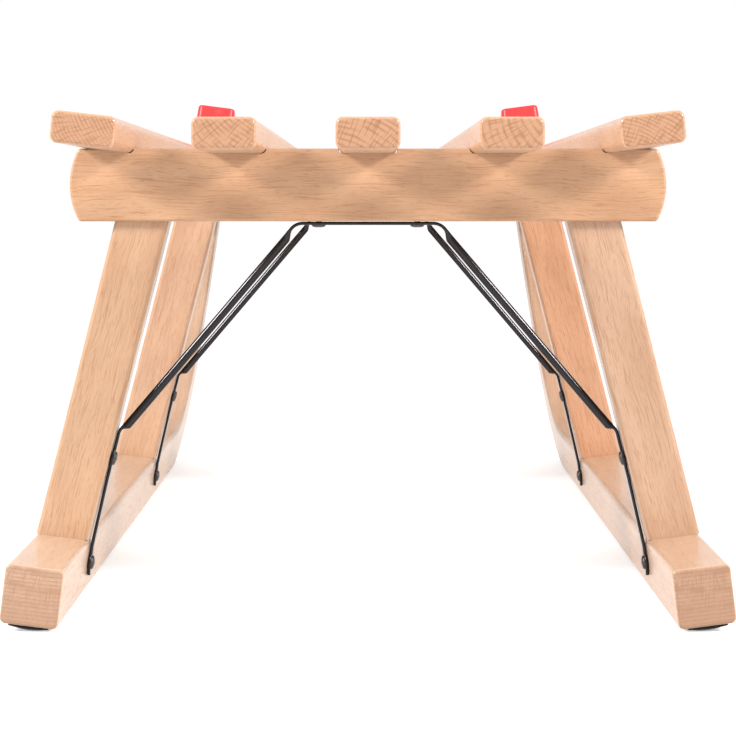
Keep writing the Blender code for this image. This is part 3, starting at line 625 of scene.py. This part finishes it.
def brace_stations():
    """The right half from the middle to its tip: (point, direction, width, thickness) of each section."""
    corners = brace_corners()
    points = [point for point, _ in corners]
    radii = [radius for _, radius in corners]
    arcs = [corner_arc(*points[turn - 1:turn + 2], radii[turn]) for turn in range(1, 5)]
    stations = []

    def along(leg, distance, width, thickness=STRAP_THICKNESS):
        """A section on one straight leg of the line; a negative distance is measured from its far end."""
        direction = (points[leg + 1] - points[leg]).normalized()
        start = points[leg + 1] if distance < 0 else points[leg]
        stations.append((start + direction * distance, direction, width, thickness))

    def swell(leg, distances, first, last, steps=8):
        """Eases one section into another between two distances."""
        for step in range(steps + 1):
            share = step / steps
            eased = share * share * (3 - 2 * share)
            width, thickness = (a + (b - a) * eased for a, b in zip(first, last))
            along(leg, distances[0] + (distances[1] - distances[0]) * share, width, thickness)

    def round_corner(turn, width):
        stations.extend((point, direction, width, STRAP_THICKNESS) for point, direction in arcs[turn])

    def eye(leg, distance, to_the_end):
        steps = 8 if to_the_end else 10
        for step in range(steps + 1):
            share = -0.84 + 1.68 * step / 10
            width = EYE_WIDTH * math.sqrt(1 - share * share)
            along(leg, distance + share * EYE_WIDTH / 2, max(width, NECK_WIDTH))

    strap = (STRAP_WIDTH, STRAP_THICKNESS)
    neck = (NECK_WIDTH, STRAP_THICKNESS)
    rod = (ROD_DIAMETER, ROD_DIAMETER)
    round_corner(0, STRAP_WIDTH)
    swell(1, ROD_AFTER_TOP, strap, rod)
    swell(1, [-distance for distance in ROD_BEFORE_KNEE], rod, neck)
    round_corner(1, NECK_WIDTH)
    eye(2, LEG_SCREW_DROP, False)
    round_corner(2, NECK_WIDTH)
    round_corner(3, NECK_WIDTH)
    eye(4, -RUNNER_SCREW_RISE, True)
    tip_round = 0.0016
    for step in range(5):
        turn = math.radians(90) * step / 4
        width = TIP_WIDTH + 0.6 * (NECK_WIDTH - TIP_WIDTH) * math.cos(turn)
        width = width - 2 * tip_round * (1 - math.cos(turn))
        along(4, -tip_round * (1 - math.sin(turn)) - 0.00001, width)
    return stations


def make_brace(place, leg_y, material):
    """One rod: pressed flat under the crossbar, on both legs and on both runners, round in between."""
    half = brace_stations()
    mirrored = [
        (Vector((-point.x, point.y)), Vector((direction.x, -direction.y)), width, thickness)
        for point, direction, width, thickness in reversed(half)
    ]
    mesh = bmesh.new()
    rings = []
    for point, direction, width, thickness in mirrored + half:
        section = rounded_rectangle(width, thickness, ROD_DIAMETER / 2)
        wood_side = Vector((-direction.y, direction.x))
        rings.append([
            Vector((point.x, leg_y + across, point.y)) + Vector((wood_side.x, 0, wood_side.y)) * lift
            for across, lift in ((x, y - thickness / 2) for x, y in section)
        ])
    loft(mesh, rings)
    made = new_object(f"{place}_brace_rod", mesh)
    return show(made, [f"{place}_brace"], material)


# ---------------------------------------------------------------- screws and bolts
def thread_profile(radius, start, end, depth=0.00022):
    """Profile points of a thread's ridges between two distances."""
    count = int(abs(end - start) / THREAD_PITCH)
    step = (end - start) / (2 * count)
    return [(radius - depth * (index % 2), start + step * index) for index in range(2 * count + 1)]


def make_recess(name, head, depth):
    """A cross recess that narrows towards its bottom."""
    long_half = 0.28 * head
    short_half = 0.06 * head
    arm = ((long_half, -short_half), (long_half, short_half), (short_half, short_half))
    outline = []
    for quarter in range(4):
        turn = Matrix.Rotation(math.radians(90) * quarter, 2)
        outline += [turn @ Vector(point) for point in arm]
    mesh = bmesh.new()
    loft(mesh, [
        [Vector((share * point.x, share * point.y, z)) for point in outline]
        for share, z in ((1.0, -0.004), (1.0, 0.0), (0.4, depth))
    ])
    return new_object(name, mesh)


def finished_screw(name, profile, recess):
    """A screw's mesh with its recess cut, head up its -Z, round the origin."""
    mesh = bmesh.new()
    turned(mesh, profile)
    made = new_object(name, mesh)
    carve(made, recess)
    data = made.data
    discard(made, recess)
    return data


def countersunk_mesh(name, sizes):
    head, height, shank, length = sizes
    edge = 0.0003
    point = height + length
    profile = [
        (head / 2 - 0.0002, 0.0),
        (head / 2, 0.0001),
        (head / 2, edge),
        (shank / 2, height),
        *thread_profile(shank / 2, height + 0.4 * length, point - SCREW_POINT),
        (0.0003, point),
    ]
    return finished_screw(name, profile, make_recess(f"{name}_recess", head, 0.75 * height))


def pan_head_mesh(name, sizes):
    head, height, shank, length = sizes
    dome = []
    for step in range(1, 9):
        turn = math.radians(90) * step / 8
        dome.append((0.5 * head * math.sin(turn) ** 0.8, -height * math.cos(turn) ** 0.9))
    profile = [
        (0.10 * head, -height),
        *dome,
        (0.49 * head, 0.0),
        (shank / 2, 0.0),
        *thread_profile(shank / 2, 0.001, length - SCREW_POINT),
        (0.0003, length),
    ]
    recess = make_recess(f"{name}_recess", head, 0.25 * height)
    return finished_screw(name, profile, recess)


def place_screws(prefix, shown_prefix, names, frames, data, material):
    for name, matrix in zip(names, frames, strict=True):
        made = bpy.data.objects.new(f"{shown_prefix}_{name}", data.copy())
        bpy.context.scene.collection.objects.link(made)
        made.matrix_world = Matrix.Translation(DATUM) @ matrix
        show(made, [f"{prefix}_{name}"], material)


def countersunk_holes(name, frames, sizes):
    head, height, shank, length = sizes
    mesh = bmesh.new()
    for matrix in frames:
        turned(mesh, [
            (head / 2 + FIT, -0.004),
            (head / 2 + FIT, 0.0003),
            (shank / 2 + FIT, height + FIT),
            (shank / 2 + FIT, height + length + FIT),
        ], matrix)
    return new_object(name, mesh)


def slat_screw_frames(bar_y):
    for _, matrix in slat_frames():
        splay_cosine = (matrix.to_3x3() @ Vector((0, 1, 0))).y
        along = (bar_y + SLAT_OVERHANG) / splay_cosine
        head = matrix @ Vector((0, along, SLAT_THICKNESS / 2 - SLAT_SCREW_SINK))
        yield axis_matrix(head, matrix.to_3x3() @ Vector((0, 0, -1)))


def brace_screw_frames(leg_y):
    """Seats of one brace's six screws, all driven outwards into the wood."""
    corners = [corner for corner, _ in brace_corners()]
    knee, strap_end = corners[2], corners[3]
    tip, runner_top = corners[5], corners[4]
    down_leg = (strap_end - knee).normalized()
    up_runner = (runner_top - tip).normalized()
    places = [
        (Vector((BRACE_CENTRE_SCREW_X, corners[0].y)), Vector((0.0, 1.0))),
        (knee + down_leg * LEG_SCREW_DROP, Vector((-down_leg.y, down_leg.x))),
        (tip + up_runner * RUNNER_SCREW_RISE, Vector((up_runner.y, -up_runner.x))),
    ]
    for _, side in SIDES:
        for point, drive in places:
            seat = point - drive * STRAP_THICKNESS
            yield axis_matrix(
                Vector((side * seat.x, leg_y, seat.y)), Vector((side * drive.x, 0, drive.y))
            )


def band_screw_frames(side):
    """Seats of one band's screws: evenly along the straight runner, and one on the bend."""
    crown = -FIT - BAND_CROWN + BAND_SCREW_SINK
    spacing = (RUNNER_STRAIGHT - 2 * BAND_SCREW_INSET) / (BAND_SCREW_COUNT - 1)
    stations = [(BAND_SCREW_INSET + spacing * place, 0.0, 0.0) for place in range(BAND_SCREW_COUNT)]
    coarse = bend_stations(CAD_BEND_STEP)
    stations.append(min(coarse, key=lambda station: abs(station[1] - plane_rise(BAND_BEND_SCREW_Z))))
    for station in stations:
        seat = runner_ring(side, station, [(0.0, crown)])[0]
        inside = runner_ring(side, station, [(0.0, RUNNER_THICKNESS)])[0]
        yield axis_matrix(seat, inside - seat)


RAIL_HALF_SQUARE = RAIL_DEPTH / 2 * math.cos(RAIL_LEAN)
BOLT_HEAD_SEAT = (
    RAIL_HALF_SQUARE - RAIL_HOUSING * math.cos(RAIL_LEAN) + RUNNER_THICKNESS + BAND_CROWN + 3 * FIT
)
BOLT_TAIL = -RAIL_HALF_SQUARE - FIT - NUT_HEIGHT - BOLT_PAST_NUT


def bolt_frame(side):
    middle = lean_point(side, RAIL_Y, plane_rise(CROSSBAR_MIDDLE_Z), 0.0)
    return axis_matrix(middle, Vector((0, math.cos(RAIL_LEAN), -math.sin(RAIL_LEAN))))


def make_bolt(side_name, side, material):
    head = BOLT_HEAD_DIAMETER / 2
    radius = BOLT_DIAMETER / 2
    dome = []
    for step in range(9):
        turn = math.radians(90) * step / 8
        dome.append((
            max(head * math.cos(turn), 0.0004),
            BOLT_HEAD_SEAT + 0.0005 + (BOLT_HEAD_HEIGHT - 0.0005) * math.sin(turn),
        ))
    mesh = bmesh.new()
    turned(mesh, [
        (radius - 0.0006, BOLT_TAIL),
        *thread_profile(radius, BOLT_TAIL + 0.0005, -RAIL_HALF_SQUARE + 0.004),
        (radius, BOLT_HEAD_SEAT),
        (head - 0.0004, BOLT_HEAD_SEAT),
        *dome,
    ])
    made = new_object(f"horn_bolt_domed_{side_name}", mesh, bolt_frame(side))
    return show(made, [f"horn_bolt_{side_name}"], material)


def make_nut(side_name, side, material):
    """A flanged hexagon nut: a closed tube of rings round the bolt, with its corners chamfered."""
    sides = 48
    seat = -RAIL_HALF_SQUARE - FIT
    back = seat - NUT_HEIGHT
    corner = NUT_FLATS / math.sqrt(3)
    chamfer = 0.0006

    def hexagon(limit):
        points = []
        for index in range(sides):
            turn = math.tau * index / sides
            off_flat = (turn + math.radians(30)) % math.radians(60) - math.radians(30)
            radius = min(NUT_FLATS / 2 / math.cos(abs(off_flat)), limit)
            points.append((radius * math.cos(turn), radius * math.sin(turn)))
        return points

    bore = BOLT_DIAMETER / 2 + FIT
    flange = NUT_FLANGE_DIAMETER / 2
    outlines = (
        (circle(bore, sides), seat),
        (circle(flange - 0.0002, sides), seat),
        (circle(flange, sides), seat - 0.0003),
        (circle(flange, sides), seat - 0.0007),
        (hexagon(corner), seat - NUT_FLANGE_THICKNESS),
        (hexagon(corner), back + chamfer),
        (hexagon(corner - 0.0007), back),
        (circle(bore + 0.0004, sides), back),
        (circle(bore, sides), back + 0.0004),
    )
    mesh = bmesh.new()
    loft(mesh, [[Vector((x, y, z)) for x, y in points] for points, z in outlines], closed=True)
    made = new_object(f"horn_bolt_flange_nut_{side_name}", mesh, bolt_frame(side))
    return show(made, [f"horn_bolt_nut_{side_name}"], material)


# ---------------------------------------------------------------- materials
class Graph:
    """Short names for a material's nodes and links."""

    def __init__(self, name):
        self.material = bpy.data.materials.new(name)
        self.material.use_nodes = True
        self.tree = self.material.node_tree
        self.shader = self.tree.nodes["Principled BSDF"]

    def node(self, kind, inputs=None, **settings):
        made = self.tree.nodes.new("ShaderNode" + kind)
        for key, value in settings.items():
            setattr(made, key, value)
        for key, value in (inputs or {}).items():
            self.put(made.inputs[key], value)
        return made

    def put(self, socket, value):
        if isinstance(value, bpy.types.NodeSocket):
            self.tree.links.new(value, socket)
        else:
            socket.default_value = value

    def math(self, operation, first, second=0.0, third=0.0):
        return self.node("Math", {0: first, 1: second, 2: third}, operation=operation).outputs[0]

    def scaled(self, value, factor, offset):
        return self.math("MULTIPLY_ADD", value, factor, offset)

    def times(self, first, second):
        return self.math("MULTIPLY", first, second)

    def join(self, x, y, z):
        return self.node("CombineXYZ", {0: x, 1: y, 2: z}).outputs[0]

    def noise(self, vector, scale=1.0, detail=2.0, roughness=0.5):
        made = self.node(
            "TexNoise", {"Vector": vector, "Scale": scale, "Detail": detail, "Roughness": roughness}
        )
        return made.outputs["Fac"]

    def ramp(self, value, low, high):
        """0 below low, 1 above high, eased in between."""
        made = self.node(
            "MapRange",
            {"Value": value, "From Min": low, "From Max": high, "To Min": 0.0, "To Max": 1.0},
            interpolation_type="SMOOTHSTEP",
        )
        return made.outputs["Result"]

    def mix(self, share, first, second, blend="MIX"):
        made = self.node("Mix", data_type="RGBA", blend_type=blend)
        self.put(made.inputs[0], share)
        for socket, value in ((made.inputs[6], first), (made.inputs[7], second)):
            self.put(socket, (*value, 1.0) if isinstance(value, tuple) else value)
        return made.outputs[2]

    def bump(self, height, strength, distance):
        made = self.node("Bump", {"Height": height, "Strength": strength, "Distance": distance})
        self.put(self.shader.inputs["Normal"], made.outputs["Normal"])

    def finish(self, **values):
        for name, value in values.items():
            self.put(self.shader.inputs[name.replace("_", " ").title().replace("Ior", "IOR")], value)
        return self.material


def grain_axes(graph, along):
    """Places in the wood in millimetres (across, depth, along the grain), and how far a face is end grain."""
    if along == "bend":
        place = graph.node("Attribute", attribute_name="grain").outputs["Vector"]
        parts = graph.node("SeparateXYZ", {0: place}).outputs
        along_mm = graph.times(parts[1], 1000.0)
        end = graph.math("SUBTRACT", 1.0, graph.ramp(along_mm, 0.15, 0.9))
        across, depth = parts[0], parts[2]
    else:
        coordinates = graph.node("TexCoord").outputs
        parts = graph.node("SeparateXYZ", {0: coordinates["Object"]}).outputs
        normals = graph.node("SeparateXYZ", {0: coordinates["Normal"]}).outputs
        order = {"X": (1, 2, 0), "Y": (0, 2, 1), "Z": (0, 1, 2)}[along]
        across, depth, axial = (parts[index] for index in order)
        along_mm = graph.times(axial, 1000.0)
        facing = graph.math("ABSOLUTE", normals[order[2]])
        end = graph.ramp(facing, 0.75, 0.95)
    return (
        graph.times(across, 1000.0),
        graph.times(depth, 1000.0),
        along_mm,
        end,
    )


def grain_space(graph, place, scales, shift):
    """A place in the wood scaled on each axis, moved sideways so that no two pieces are alike."""
    across, depth, axial = place
    across = graph.scaled(across, scales[0], shift)
    return graph.join(across, graph.times(depth, scales[1]), graph.times(axial, scales[2]))


def ray_space(graph, place, sizes):
    """A place given outwards, round the pith and along the grain, over a feature's size on each."""
    return graph.join(*(graph.math("DIVIDE", value, size) for value, size in zip(place, sizes)))


def beech(name, along, colour, seed, end_tint, pith=(20.0, -60.0), ring=2.7, rings=0.25,
          flecks=0.38, layers=0.0):
    """Lacquered beech: growth rings round a pith, rays that show as flecks and as lines on end grain."""
    graph = Graph(name)
    across, depth, axial, end = grain_axes(graph, along)
    place = (across, depth, axial)
    shift = 37.0 * seed

    # the grain wanders slowly along the piece
    slow = grain_space(graph, place, (0.02, 0.02, 0.014), shift)
    wander = graph.times(graph.math("SUBTRACT", graph.noise(slow, 1.0, 2.0), 0.5), 8.0)
    ripple_at = grain_space(graph, place, (0.05, 0.05, 0.045), shift)
    ripple = graph.times(graph.math("SUBTRACT", graph.noise(ripple_at, 1.0, 1.0), 0.5), 2.4)
    bent = graph.math("ADD", wander, ripple)

    # growth rings round the pith
    from_pith_u = graph.math("SUBTRACT", graph.math("ADD", across, bent), pith[0])
    from_pith_v = graph.math("SUBTRACT", graph.math("ADD", depth, bent), pith[1])
    radius = graph.math(
        "SQRT",
        graph.math("ADD", graph.times(from_pith_u, from_pith_u),
                   graph.times(from_pith_v, from_pith_v)),
    )
    turn = graph.math("ARCTAN2", from_pith_v, from_pith_u)
    round_it = graph.scaled(turn, math.hypot(*pith), shift)
    uneven = graph.times(graph.noise(graph.join(graph.times(radius, 0.2),
                                                           shift, 0.0), 1.0, 1.0), 3.0)
    wave = graph.math("SINE", graph.scaled(radius, math.tau / ring, uneven))
    late = graph.math("POWER", graph.scaled(wave, 0.5, 0.5), 3.0)
    broad = graph.noise(graph.join(graph.times(radius, 0.22), shift,
                                   graph.times(axial, 0.006)), 1.0, 2.0)

    # rays: thin sheets that run outwards from the pith, short along the grain
    sheets = ray_space(graph, (radius, round_it, axial), (11.0, 0.34, 5.2))
    crowd_at = ray_space(graph, (radius, round_it, axial), (9.0, 5.0, 15.0))
    crowd = graph.scaled(graph.noise(crowd_at, 1.0, 1.0), 0.16, -0.08)
    fleck = graph.ramp(graph.math("ADD", graph.noise(sheets, 1.0, 0.0), crowd), 0.63, 0.74)
    lines_at = graph.join(graph.math("DIVIDE", radius, 9.0), graph.math("DIVIDE", round_it, 0.95), 0.0)
    ray_lines = graph.ramp(graph.noise(lines_at, 1.0, 1.0), 0.50, 0.66)

    # vessels drawn out along the grain, pores on the end grain, slow changes of tone
    vessels_at = ray_space(graph, (radius, round_it, axial), (2.5, 0.62, 22.0))
    vessels = graph.ramp(graph.noise(vessels_at, 1.0, 2.0, 0.6), 0.48, 0.72)
    fine_at = grain_space(graph, place, (2.6, 2.6, 0.5), shift)
    fine = graph.noise(fine_at, 1.0, 2.0, 0.6)
    tone_at = grain_space(graph, place, (0.06, 0.06, 0.015), shift)
    tone = graph.noise(tone_at, 1.0, 3.0)

    light = tint(colour, (1.03, 1.04, 1.06))
    dark = tint(colour, (0.95, 0.92, 0.89))
    line_colour = tint(colour, (0.70, 0.56, 0.46))
    end_line_colour = tint(colour, (0.42, 0.28, 0.20))
    fleck_colour = tint(colour, (0.58, 0.43, 0.33))
    end_colour = tint(colour, end_tint)

    paint = graph.mix(graph.ramp(tone, 0.32, 0.68), light, dark)
    paint = graph.mix(graph.times(graph.ramp(broad, 0.35, 0.70), 0.30), paint, dark)
    paint = graph.mix(graph.times(end, 0.9), paint, end_colour)
    side = graph.math("SUBTRACT", 1.0, end)
    paint = graph.mix(graph.times(graph.times(late, side), rings), paint, line_colour)
    faded_at = graph.join(graph.times(across, 0.16), graph.times(depth, 0.16), shift)
    faded = graph.ramp(graph.noise(faded_at, 1.0, 1.0), 0.25, 0.65)
    ring_share = graph.times(graph.times(late, end), faded)
    paint = graph.mix(graph.times(ring_share, 0.60), paint, end_line_colour)
    ray_share = graph.times(graph.times(ray_lines, end), 0.50)
    paint = graph.mix(ray_share, paint, end_line_colour)
    vessel_share = graph.times(vessels, graph.scaled(end, -0.40, 0.65))
    paint = graph.mix(vessel_share, paint, line_colour)
    paint = graph.mix(graph.times(graph.ramp(fine, 0.50, 0.75), 0.30), paint, line_colour)
    fleck_share = graph.scaled(end, -0.8 * flecks, flecks)
    paint = graph.mix(graph.times(fleck, fleck_share), paint, fleck_colour)
    if layers:
        paint = add_layers(graph, paint, colour, (across, depth, axial, end), layers, shift)

    relief = graph.math("ADD", graph.times(fine, 0.3), graph.times(fleck, -0.6))
    graph.bump(relief, 0.10, 0.0002)
    shine = graph.scaled(fine, 0.12, graph.scaled(end, 0.16, 0.36))
    return graph.finish(
        base_color=paint, roughness=shine, coat_weight=0.35, coat_roughness=0.12,
        specular_ior_level=0.25,
    )


def tint(colour, factors):
    return tuple(min(1.0, value * factor) for value, factor in zip(colour, factors))


def add_layers(graph, paint, colour, place, layer_mm, shift):
    """Glue lines and the layers' different tones, for bent laminated wood; its end faces get painted shade
    towards the ground.
    """
    across, depth, axial, end = place
    wavy_at = graph.join(graph.times(across, 0.10), shift, graph.times(axial, 0.01))
    wavy = graph.times(graph.math("SUBTRACT", graph.noise(wavy_at, 1.0, 2.0), 0.5), 0.9)
    share = graph.math("DIVIDE", graph.math("ADD", depth, wavy), layer_mm)
    layer = graph.math("FLOOR", share)
    tone = graph.node("TexWhiteNoise", {"W": layer}, noise_dimensions="1D").outputs["Value"]
    darker = tint(colour, (0.62, 0.52, 0.47))
    tone_share = graph.times(tone, graph.scaled(end, 0.40, 0.20))
    paint = graph.mix(tone_share, paint, darker)
    # painted shade: the end faces darken towards the runner's under side, near the ground
    painted_ground_shade = graph.math("SUBTRACT", 1.0, graph.ramp(depth, -4.0, 20.0))
    paint = graph.mix(graph.times(graph.times(painted_ground_shade, end), 0.9), paint, darker)
    off = graph.math("ABSOLUTE", graph.math("SUBTRACT", graph.math("FRACT", share), 0.5))
    glue = graph.ramp(off, 0.26, 0.46)
    broken_at = graph.join(
        graph.times(across, 0.30), graph.times(layer, 3.7),
        graph.times(axial, 0.02),
    )
    broken = graph.ramp(graph.noise(broken_at, 1.0, 3.0), 0.25, 0.60)
    glue_share = graph.times(graph.times(glue, broken),
                            graph.scaled(end, 0.60, 0.16))
    glue_colour = tint(colour, (0.52, 0.40, 0.32))
    paint = graph.mix(glue_share, paint, glue_colour)
    mottle_at = graph.join(graph.times(across, 0.7), graph.times(depth, 1.6), shift)
    mottle = graph.times(graph.ramp(graph.noise(mottle_at, 1.0, 3.0, 0.65), 0.46, 0.70), end)
    return graph.mix(graph.times(mottle, 0.45), paint, glue_colour)


def steel(name, colour, roughness, edge_painted_shade, metallic=0.9):
    """Worked steel: fine brushing, small marks, and painted shade where it is seen edge on, a dark reflection
    put into its colour.
    """
    graph = Graph(name)
    place = graph.node("TexCoord").outputs["Object"]
    brushed_at = graph.node("Mapping", {"Vector": place, "Scale": (700.0, 90.0, 700.0)}).outputs[0]
    brushed = graph.noise(brushed_at, 1.0, 3.0)
    worn = graph.noise(place, 110.0, 4.0, 0.6)
    edge = graph.node("LayerWeight", {"Blend": 0.35}).outputs["Facing"]
    # painted shade: the colour darkens where the steel is seen edge on, standing in for a dark reflection
    paint = graph.mix(graph.ramp(edge, 0.10, 0.62), colour, tint(colour, (edge_painted_shade,) * 3))
    worn_share = graph.times(graph.ramp(worn, 0.48, 0.75), 0.5)
    paint = graph.mix(worn_share, paint, tint(colour, (1.4,) * 3))
    graph.bump(graph.math("ADD", graph.times(brushed, 0.4), worn), 0.006, 0.0002)
    shine = graph.scaled(brushed, 0.10, roughness - 0.05)
    return graph.finish(base_color=paint, roughness=shine, metallic=metallic)


def moulded_plastic(name, colour):
    """Moulded cap: a fine matt texture and faint scuffs."""
    graph = Graph(name)
    place = graph.node("TexCoord").outputs["Object"]
    stipple = graph.noise(place, 2600.0, 2.0)
    scuffs = graph.ramp(graph.noise(place, 90.0, 4.0, 0.6), 0.50, 0.80)
    pale = tuple(min(1.0, c * 1.05 + 0.05) for c in colour)
    paint = graph.mix(graph.times(scuffs, 0.4), colour, pale)
    graph.bump(stipple, 0.10, 0.0001)
    shine = graph.scaled(scuffs, 0.15, 0.36)
    return graph.finish(base_color=paint, roughness=shine, specular_ior_level=0.35)


# ---------------------------------------------------------------- studio
KEY_POWER = 130.0


def flat_material(name, colour, glow):
    graph = Graph(name)
    return graph.finish(
        base_color=(*colour, 1.0), roughness=0.9, specular_ior_level=0.0,
        emission_color=(1.0, 1.0, 1.0, 1.0), emission_strength=glow,
    )


def make_floor():
    mesh = bmesh.new()
    bmesh.ops.create_grid(mesh, x_segments=4, y_segments=4, size=30.0)
    floor = new_object("studio_floor", mesh)
    floor.location = (0, 0, 0)
    floor.data.materials.append(flat_material("studio white", (0.50, 0.50, 0.50), 0.52))


def make_softbox(name, direction, distance, size, power):
    """An area light that shines along a direction on to the rear crossbar."""
    target = DATUM + Vector((0, REAR_LEG_Y, CROSSBAR_MIDDLE_Z))
    light = bpy.data.lights.new(name, "AREA")
    light.shape = "SQUARE"
    light.size = size
    light.energy = power
    made = bpy.data.objects.new(name, light)
    bpy.context.scene.collection.objects.link(made)
    heading = Vector(direction).normalized()
    made.location = target - heading * distance
    made.rotation_euler = heading.to_track_quat("-Z", "Y").to_euler()


def make_studio():
    world = bpy.data.worlds.new("white studio")
    world.use_nodes = True
    background = world.node_tree.nodes["Background"]
    background.inputs["Color"].default_value = (1.0, 1.0, 1.0, 1.0)
    background.inputs["Strength"].default_value = 1.0
    bpy.context.scene.world = world
    bpy.context.scene.view_settings.view_transform = "Standard"
    make_floor()
    make_softbox("softbox left", (1.65, 0.75, -1.0), 3.0, 0.65, KEY_POWER)
    make_softbox("softbox right", (-1.65, 0.75, -1.0), 3.0, 0.65, KEY_POWER)


def make_camera():
    """Straight behind the sledge, a little below the seat's height, looking slightly down."""
    camera = bpy.data.cameras.new("camera")
    camera.lens = 122.28
    camera.clip_start = 0.05
    made = bpy.data.objects.new("camera", camera)
    bpy.context.scene.collection.objects.link(made)
    made.location = DATUM + Vector((0, -1.250, 0.2193))
    made.rotation_euler = (math.pi / 2 - math.radians(3.913), 0, 0)
    bpy.context.scene.camera = made


# ---------------------------------------------------------------- the sledge
SLAT_COLOUR = (0.450, 0.260, 0.155)
BAR_COLOUR = (0.452, 0.268, 0.154)
LEG_COLOURS = {
    "rear_leg_left": (0.440, 0.273, 0.166),
    "rear_leg_right": (0.420, 0.265, 0.172),
    "front_leg_left": (0.470, 0.290, 0.185),
    "front_leg_right": (0.446, 0.239, 0.136),
}
RUNNER_COLOURS = {"left": (0.490, 0.340, 0.240), "right": (0.460, 0.305, 0.208)}
RUNNER_END_TINTS = {"left": (0.74, 0.66, 0.61), "right": (0.67, 0.60, 0.57)}
SLAT_END_TINT = (0.78, 0.73, 0.70)
PLAIN_END_TINT = (0.86, 0.82, 0.80)
BAND_STEEL_COLOUR = (0.014, 0.013, 0.014)
ROD_STEEL_COLOUR = (0.030, 0.027, 0.028)
PLATED_STEEL_COLOUR = (0.070, 0.066, 0.064)
CAP_COLOUR = (0.60, 0.026, 0.029)


def make_wood(cutters):
    slat_piths = {
        "outer_left": ((52.0, 26.0), 1.9),
        "inner_left": ((40.0, 38.0), 2.3),
        "centre": ((-24.0, -48.0), 2.5),
        "inner_right": ((30.0, 16.0), 3.4),
        "outer_right": ((-30.0, -40.0), 2.0),
    }
    for seed, (name, matrix) in enumerate(slat_frames(), start=1):
        pith, ring = slat_piths[name]
        wood = beech(f"beech slat {name}", "Y", SLAT_COLOUR, seed, SLAT_END_TINT, pith=pith, ring=ring)
        make_slat(name, matrix, cutters["slat_screws"], wood)

    bars = (
        ("rear_crossbar", CROSSBAR_HALF_LENGTH, REAR_LEG_Y, CROSSBAR_DEPTH, 0.0, ["notches"]),
        ("middle_crossbar", CROSSBAR_HALF_LENGTH, FRONT_LEG_Y, CROSSBAR_DEPTH, 0.0, ["notches"]),
        ("front_rail", RAIL_HALF_LENGTH, RAIL_Y, RAIL_DEPTH, RAIL_LEAN, ["notches", "housings"]),
    )
    for seed, (node, half_length, y, depth, rake, cuts) in enumerate(bars, start=11):
        wood = beech(f"beech {node}", "X", BAR_COLOUR, seed, PLAIN_END_TINT, pith=(70.0, -14.0), ring=6.0)
        make_bar(node, half_length, y, depth, rake, [cutters[cut] for cut in cuts], wood)

    seed = 21
    for place, leg_y in (("rear", REAR_LEG_Y), ("front", FRONT_LEG_Y)):
        for side_name, side in SIDES:
            node = f"{place}_leg_{side_name}"
            pith = (10.0 * side, 60.0)
            wood = beech(f"beech {node}", "Z", LEG_COLOURS[node], seed, PLAIN_END_TINT, pith=pith, ring=5.0)
            make_leg(node, side, leg_y, wood)
            seed += 1

    for side_name, side in SIDES:
        wood = beech(
            f"laminated beech {side_name}", "bend", RUNNER_COLOURS[side_name], seed,
            RUNNER_END_TINTS[side_name], pith=(8.0, 90.0), ring=9.0, rings=0.10, flecks=0.30,
            layers=1000 * LAMINATION,
        )
        make_runner(side_name, side, wood)
        seed += 1


def make_metal(cutters):
    band_steel = steel("blued steel band", BAND_STEEL_COLOUR, 0.36, 0.5)
    rod_steel = steel("dark steel rod", ROD_STEEL_COLOUR, 0.20, 0.10)
    plated = steel("dark plated steel", PLATED_STEEL_COLOUR, 0.32, 0.3)
    caps = moulded_plastic("red moulded plastic", CAP_COLOUR)
    for place, leg_y in (("rear", REAR_LEG_Y), ("front", FRONT_LEG_Y)):
        make_brace(place, leg_y, rod_steel)
    for side_name, side in SIDES:
        make_band(side_name, side, cutters["band_screws"], band_steel)
        make_cap(side_name, side, caps)
        make_bolt(side_name, side, plated)
        make_nut(side_name, side, plated)

    across = [name for name, _ in slat_frames()]
    slat_screw = countersunk_mesh("slat_screw_mesh", SLAT_SCREW)
    for bar, bar_y in (("rear", REAR_LEG_Y), ("middle", FRONT_LEG_Y), ("front", RAIL_Y)):
        frames = list(slat_screw_frames(bar_y))
        place_screws(f"slat_screw_{bar}", f"slat_wood_screw_{bar}", across, frames, slat_screw, plated)
    around = [f"{place}_{side}" for side, _ in SIDES for place in ("crossbar", "leg", "runner")]
    brace_screw = pan_head_mesh("brace_screw_mesh", BRACE_SCREW)
    for place, leg_y in (("rear", REAR_LEG_Y), ("front", FRONT_LEG_Y)):
        frames = list(brace_screw_frames(leg_y))
        place_screws(f"{place}_brace_screw", f"{place}_brace_pan_screw", around, frames, brace_screw, plated)
    band_screw = countersunk_mesh("band_screw_mesh", BAND_SCREW)
    for side_name, side in SIDES:
        frames = list(band_screw_frames(side))
        names = ("1", "2", "3", "bend")
        made = f"band_wood_screw_{side_name}"
        place_screws(f"band_screw_{side_name}", made, names, frames, band_screw, plated)


def main():
    make_camera()
    make_studio()
    rows = (REAR_LEG_Y, FRONT_LEG_Y, RAIL_Y)
    slat_screws = [matrix for bar_y in rows for matrix in slat_screw_frames(bar_y)]
    band_screws = [matrix for _, side in SIDES for matrix in band_screw_frames(side)]
    cutters = {
        "slat_screws": countersunk_holes("cut_slat_screws", slat_screws, SLAT_SCREW),
        "band_screws": countersunk_holes("cut_band_screws", band_screws, BAND_SCREW),
        "notches": make_notch_cutter(),
        "housings": make_housing_cutter(),
    }
    make_wood(cutters)
    make_metal(cutters)
    discard(*cutters.values())


main()
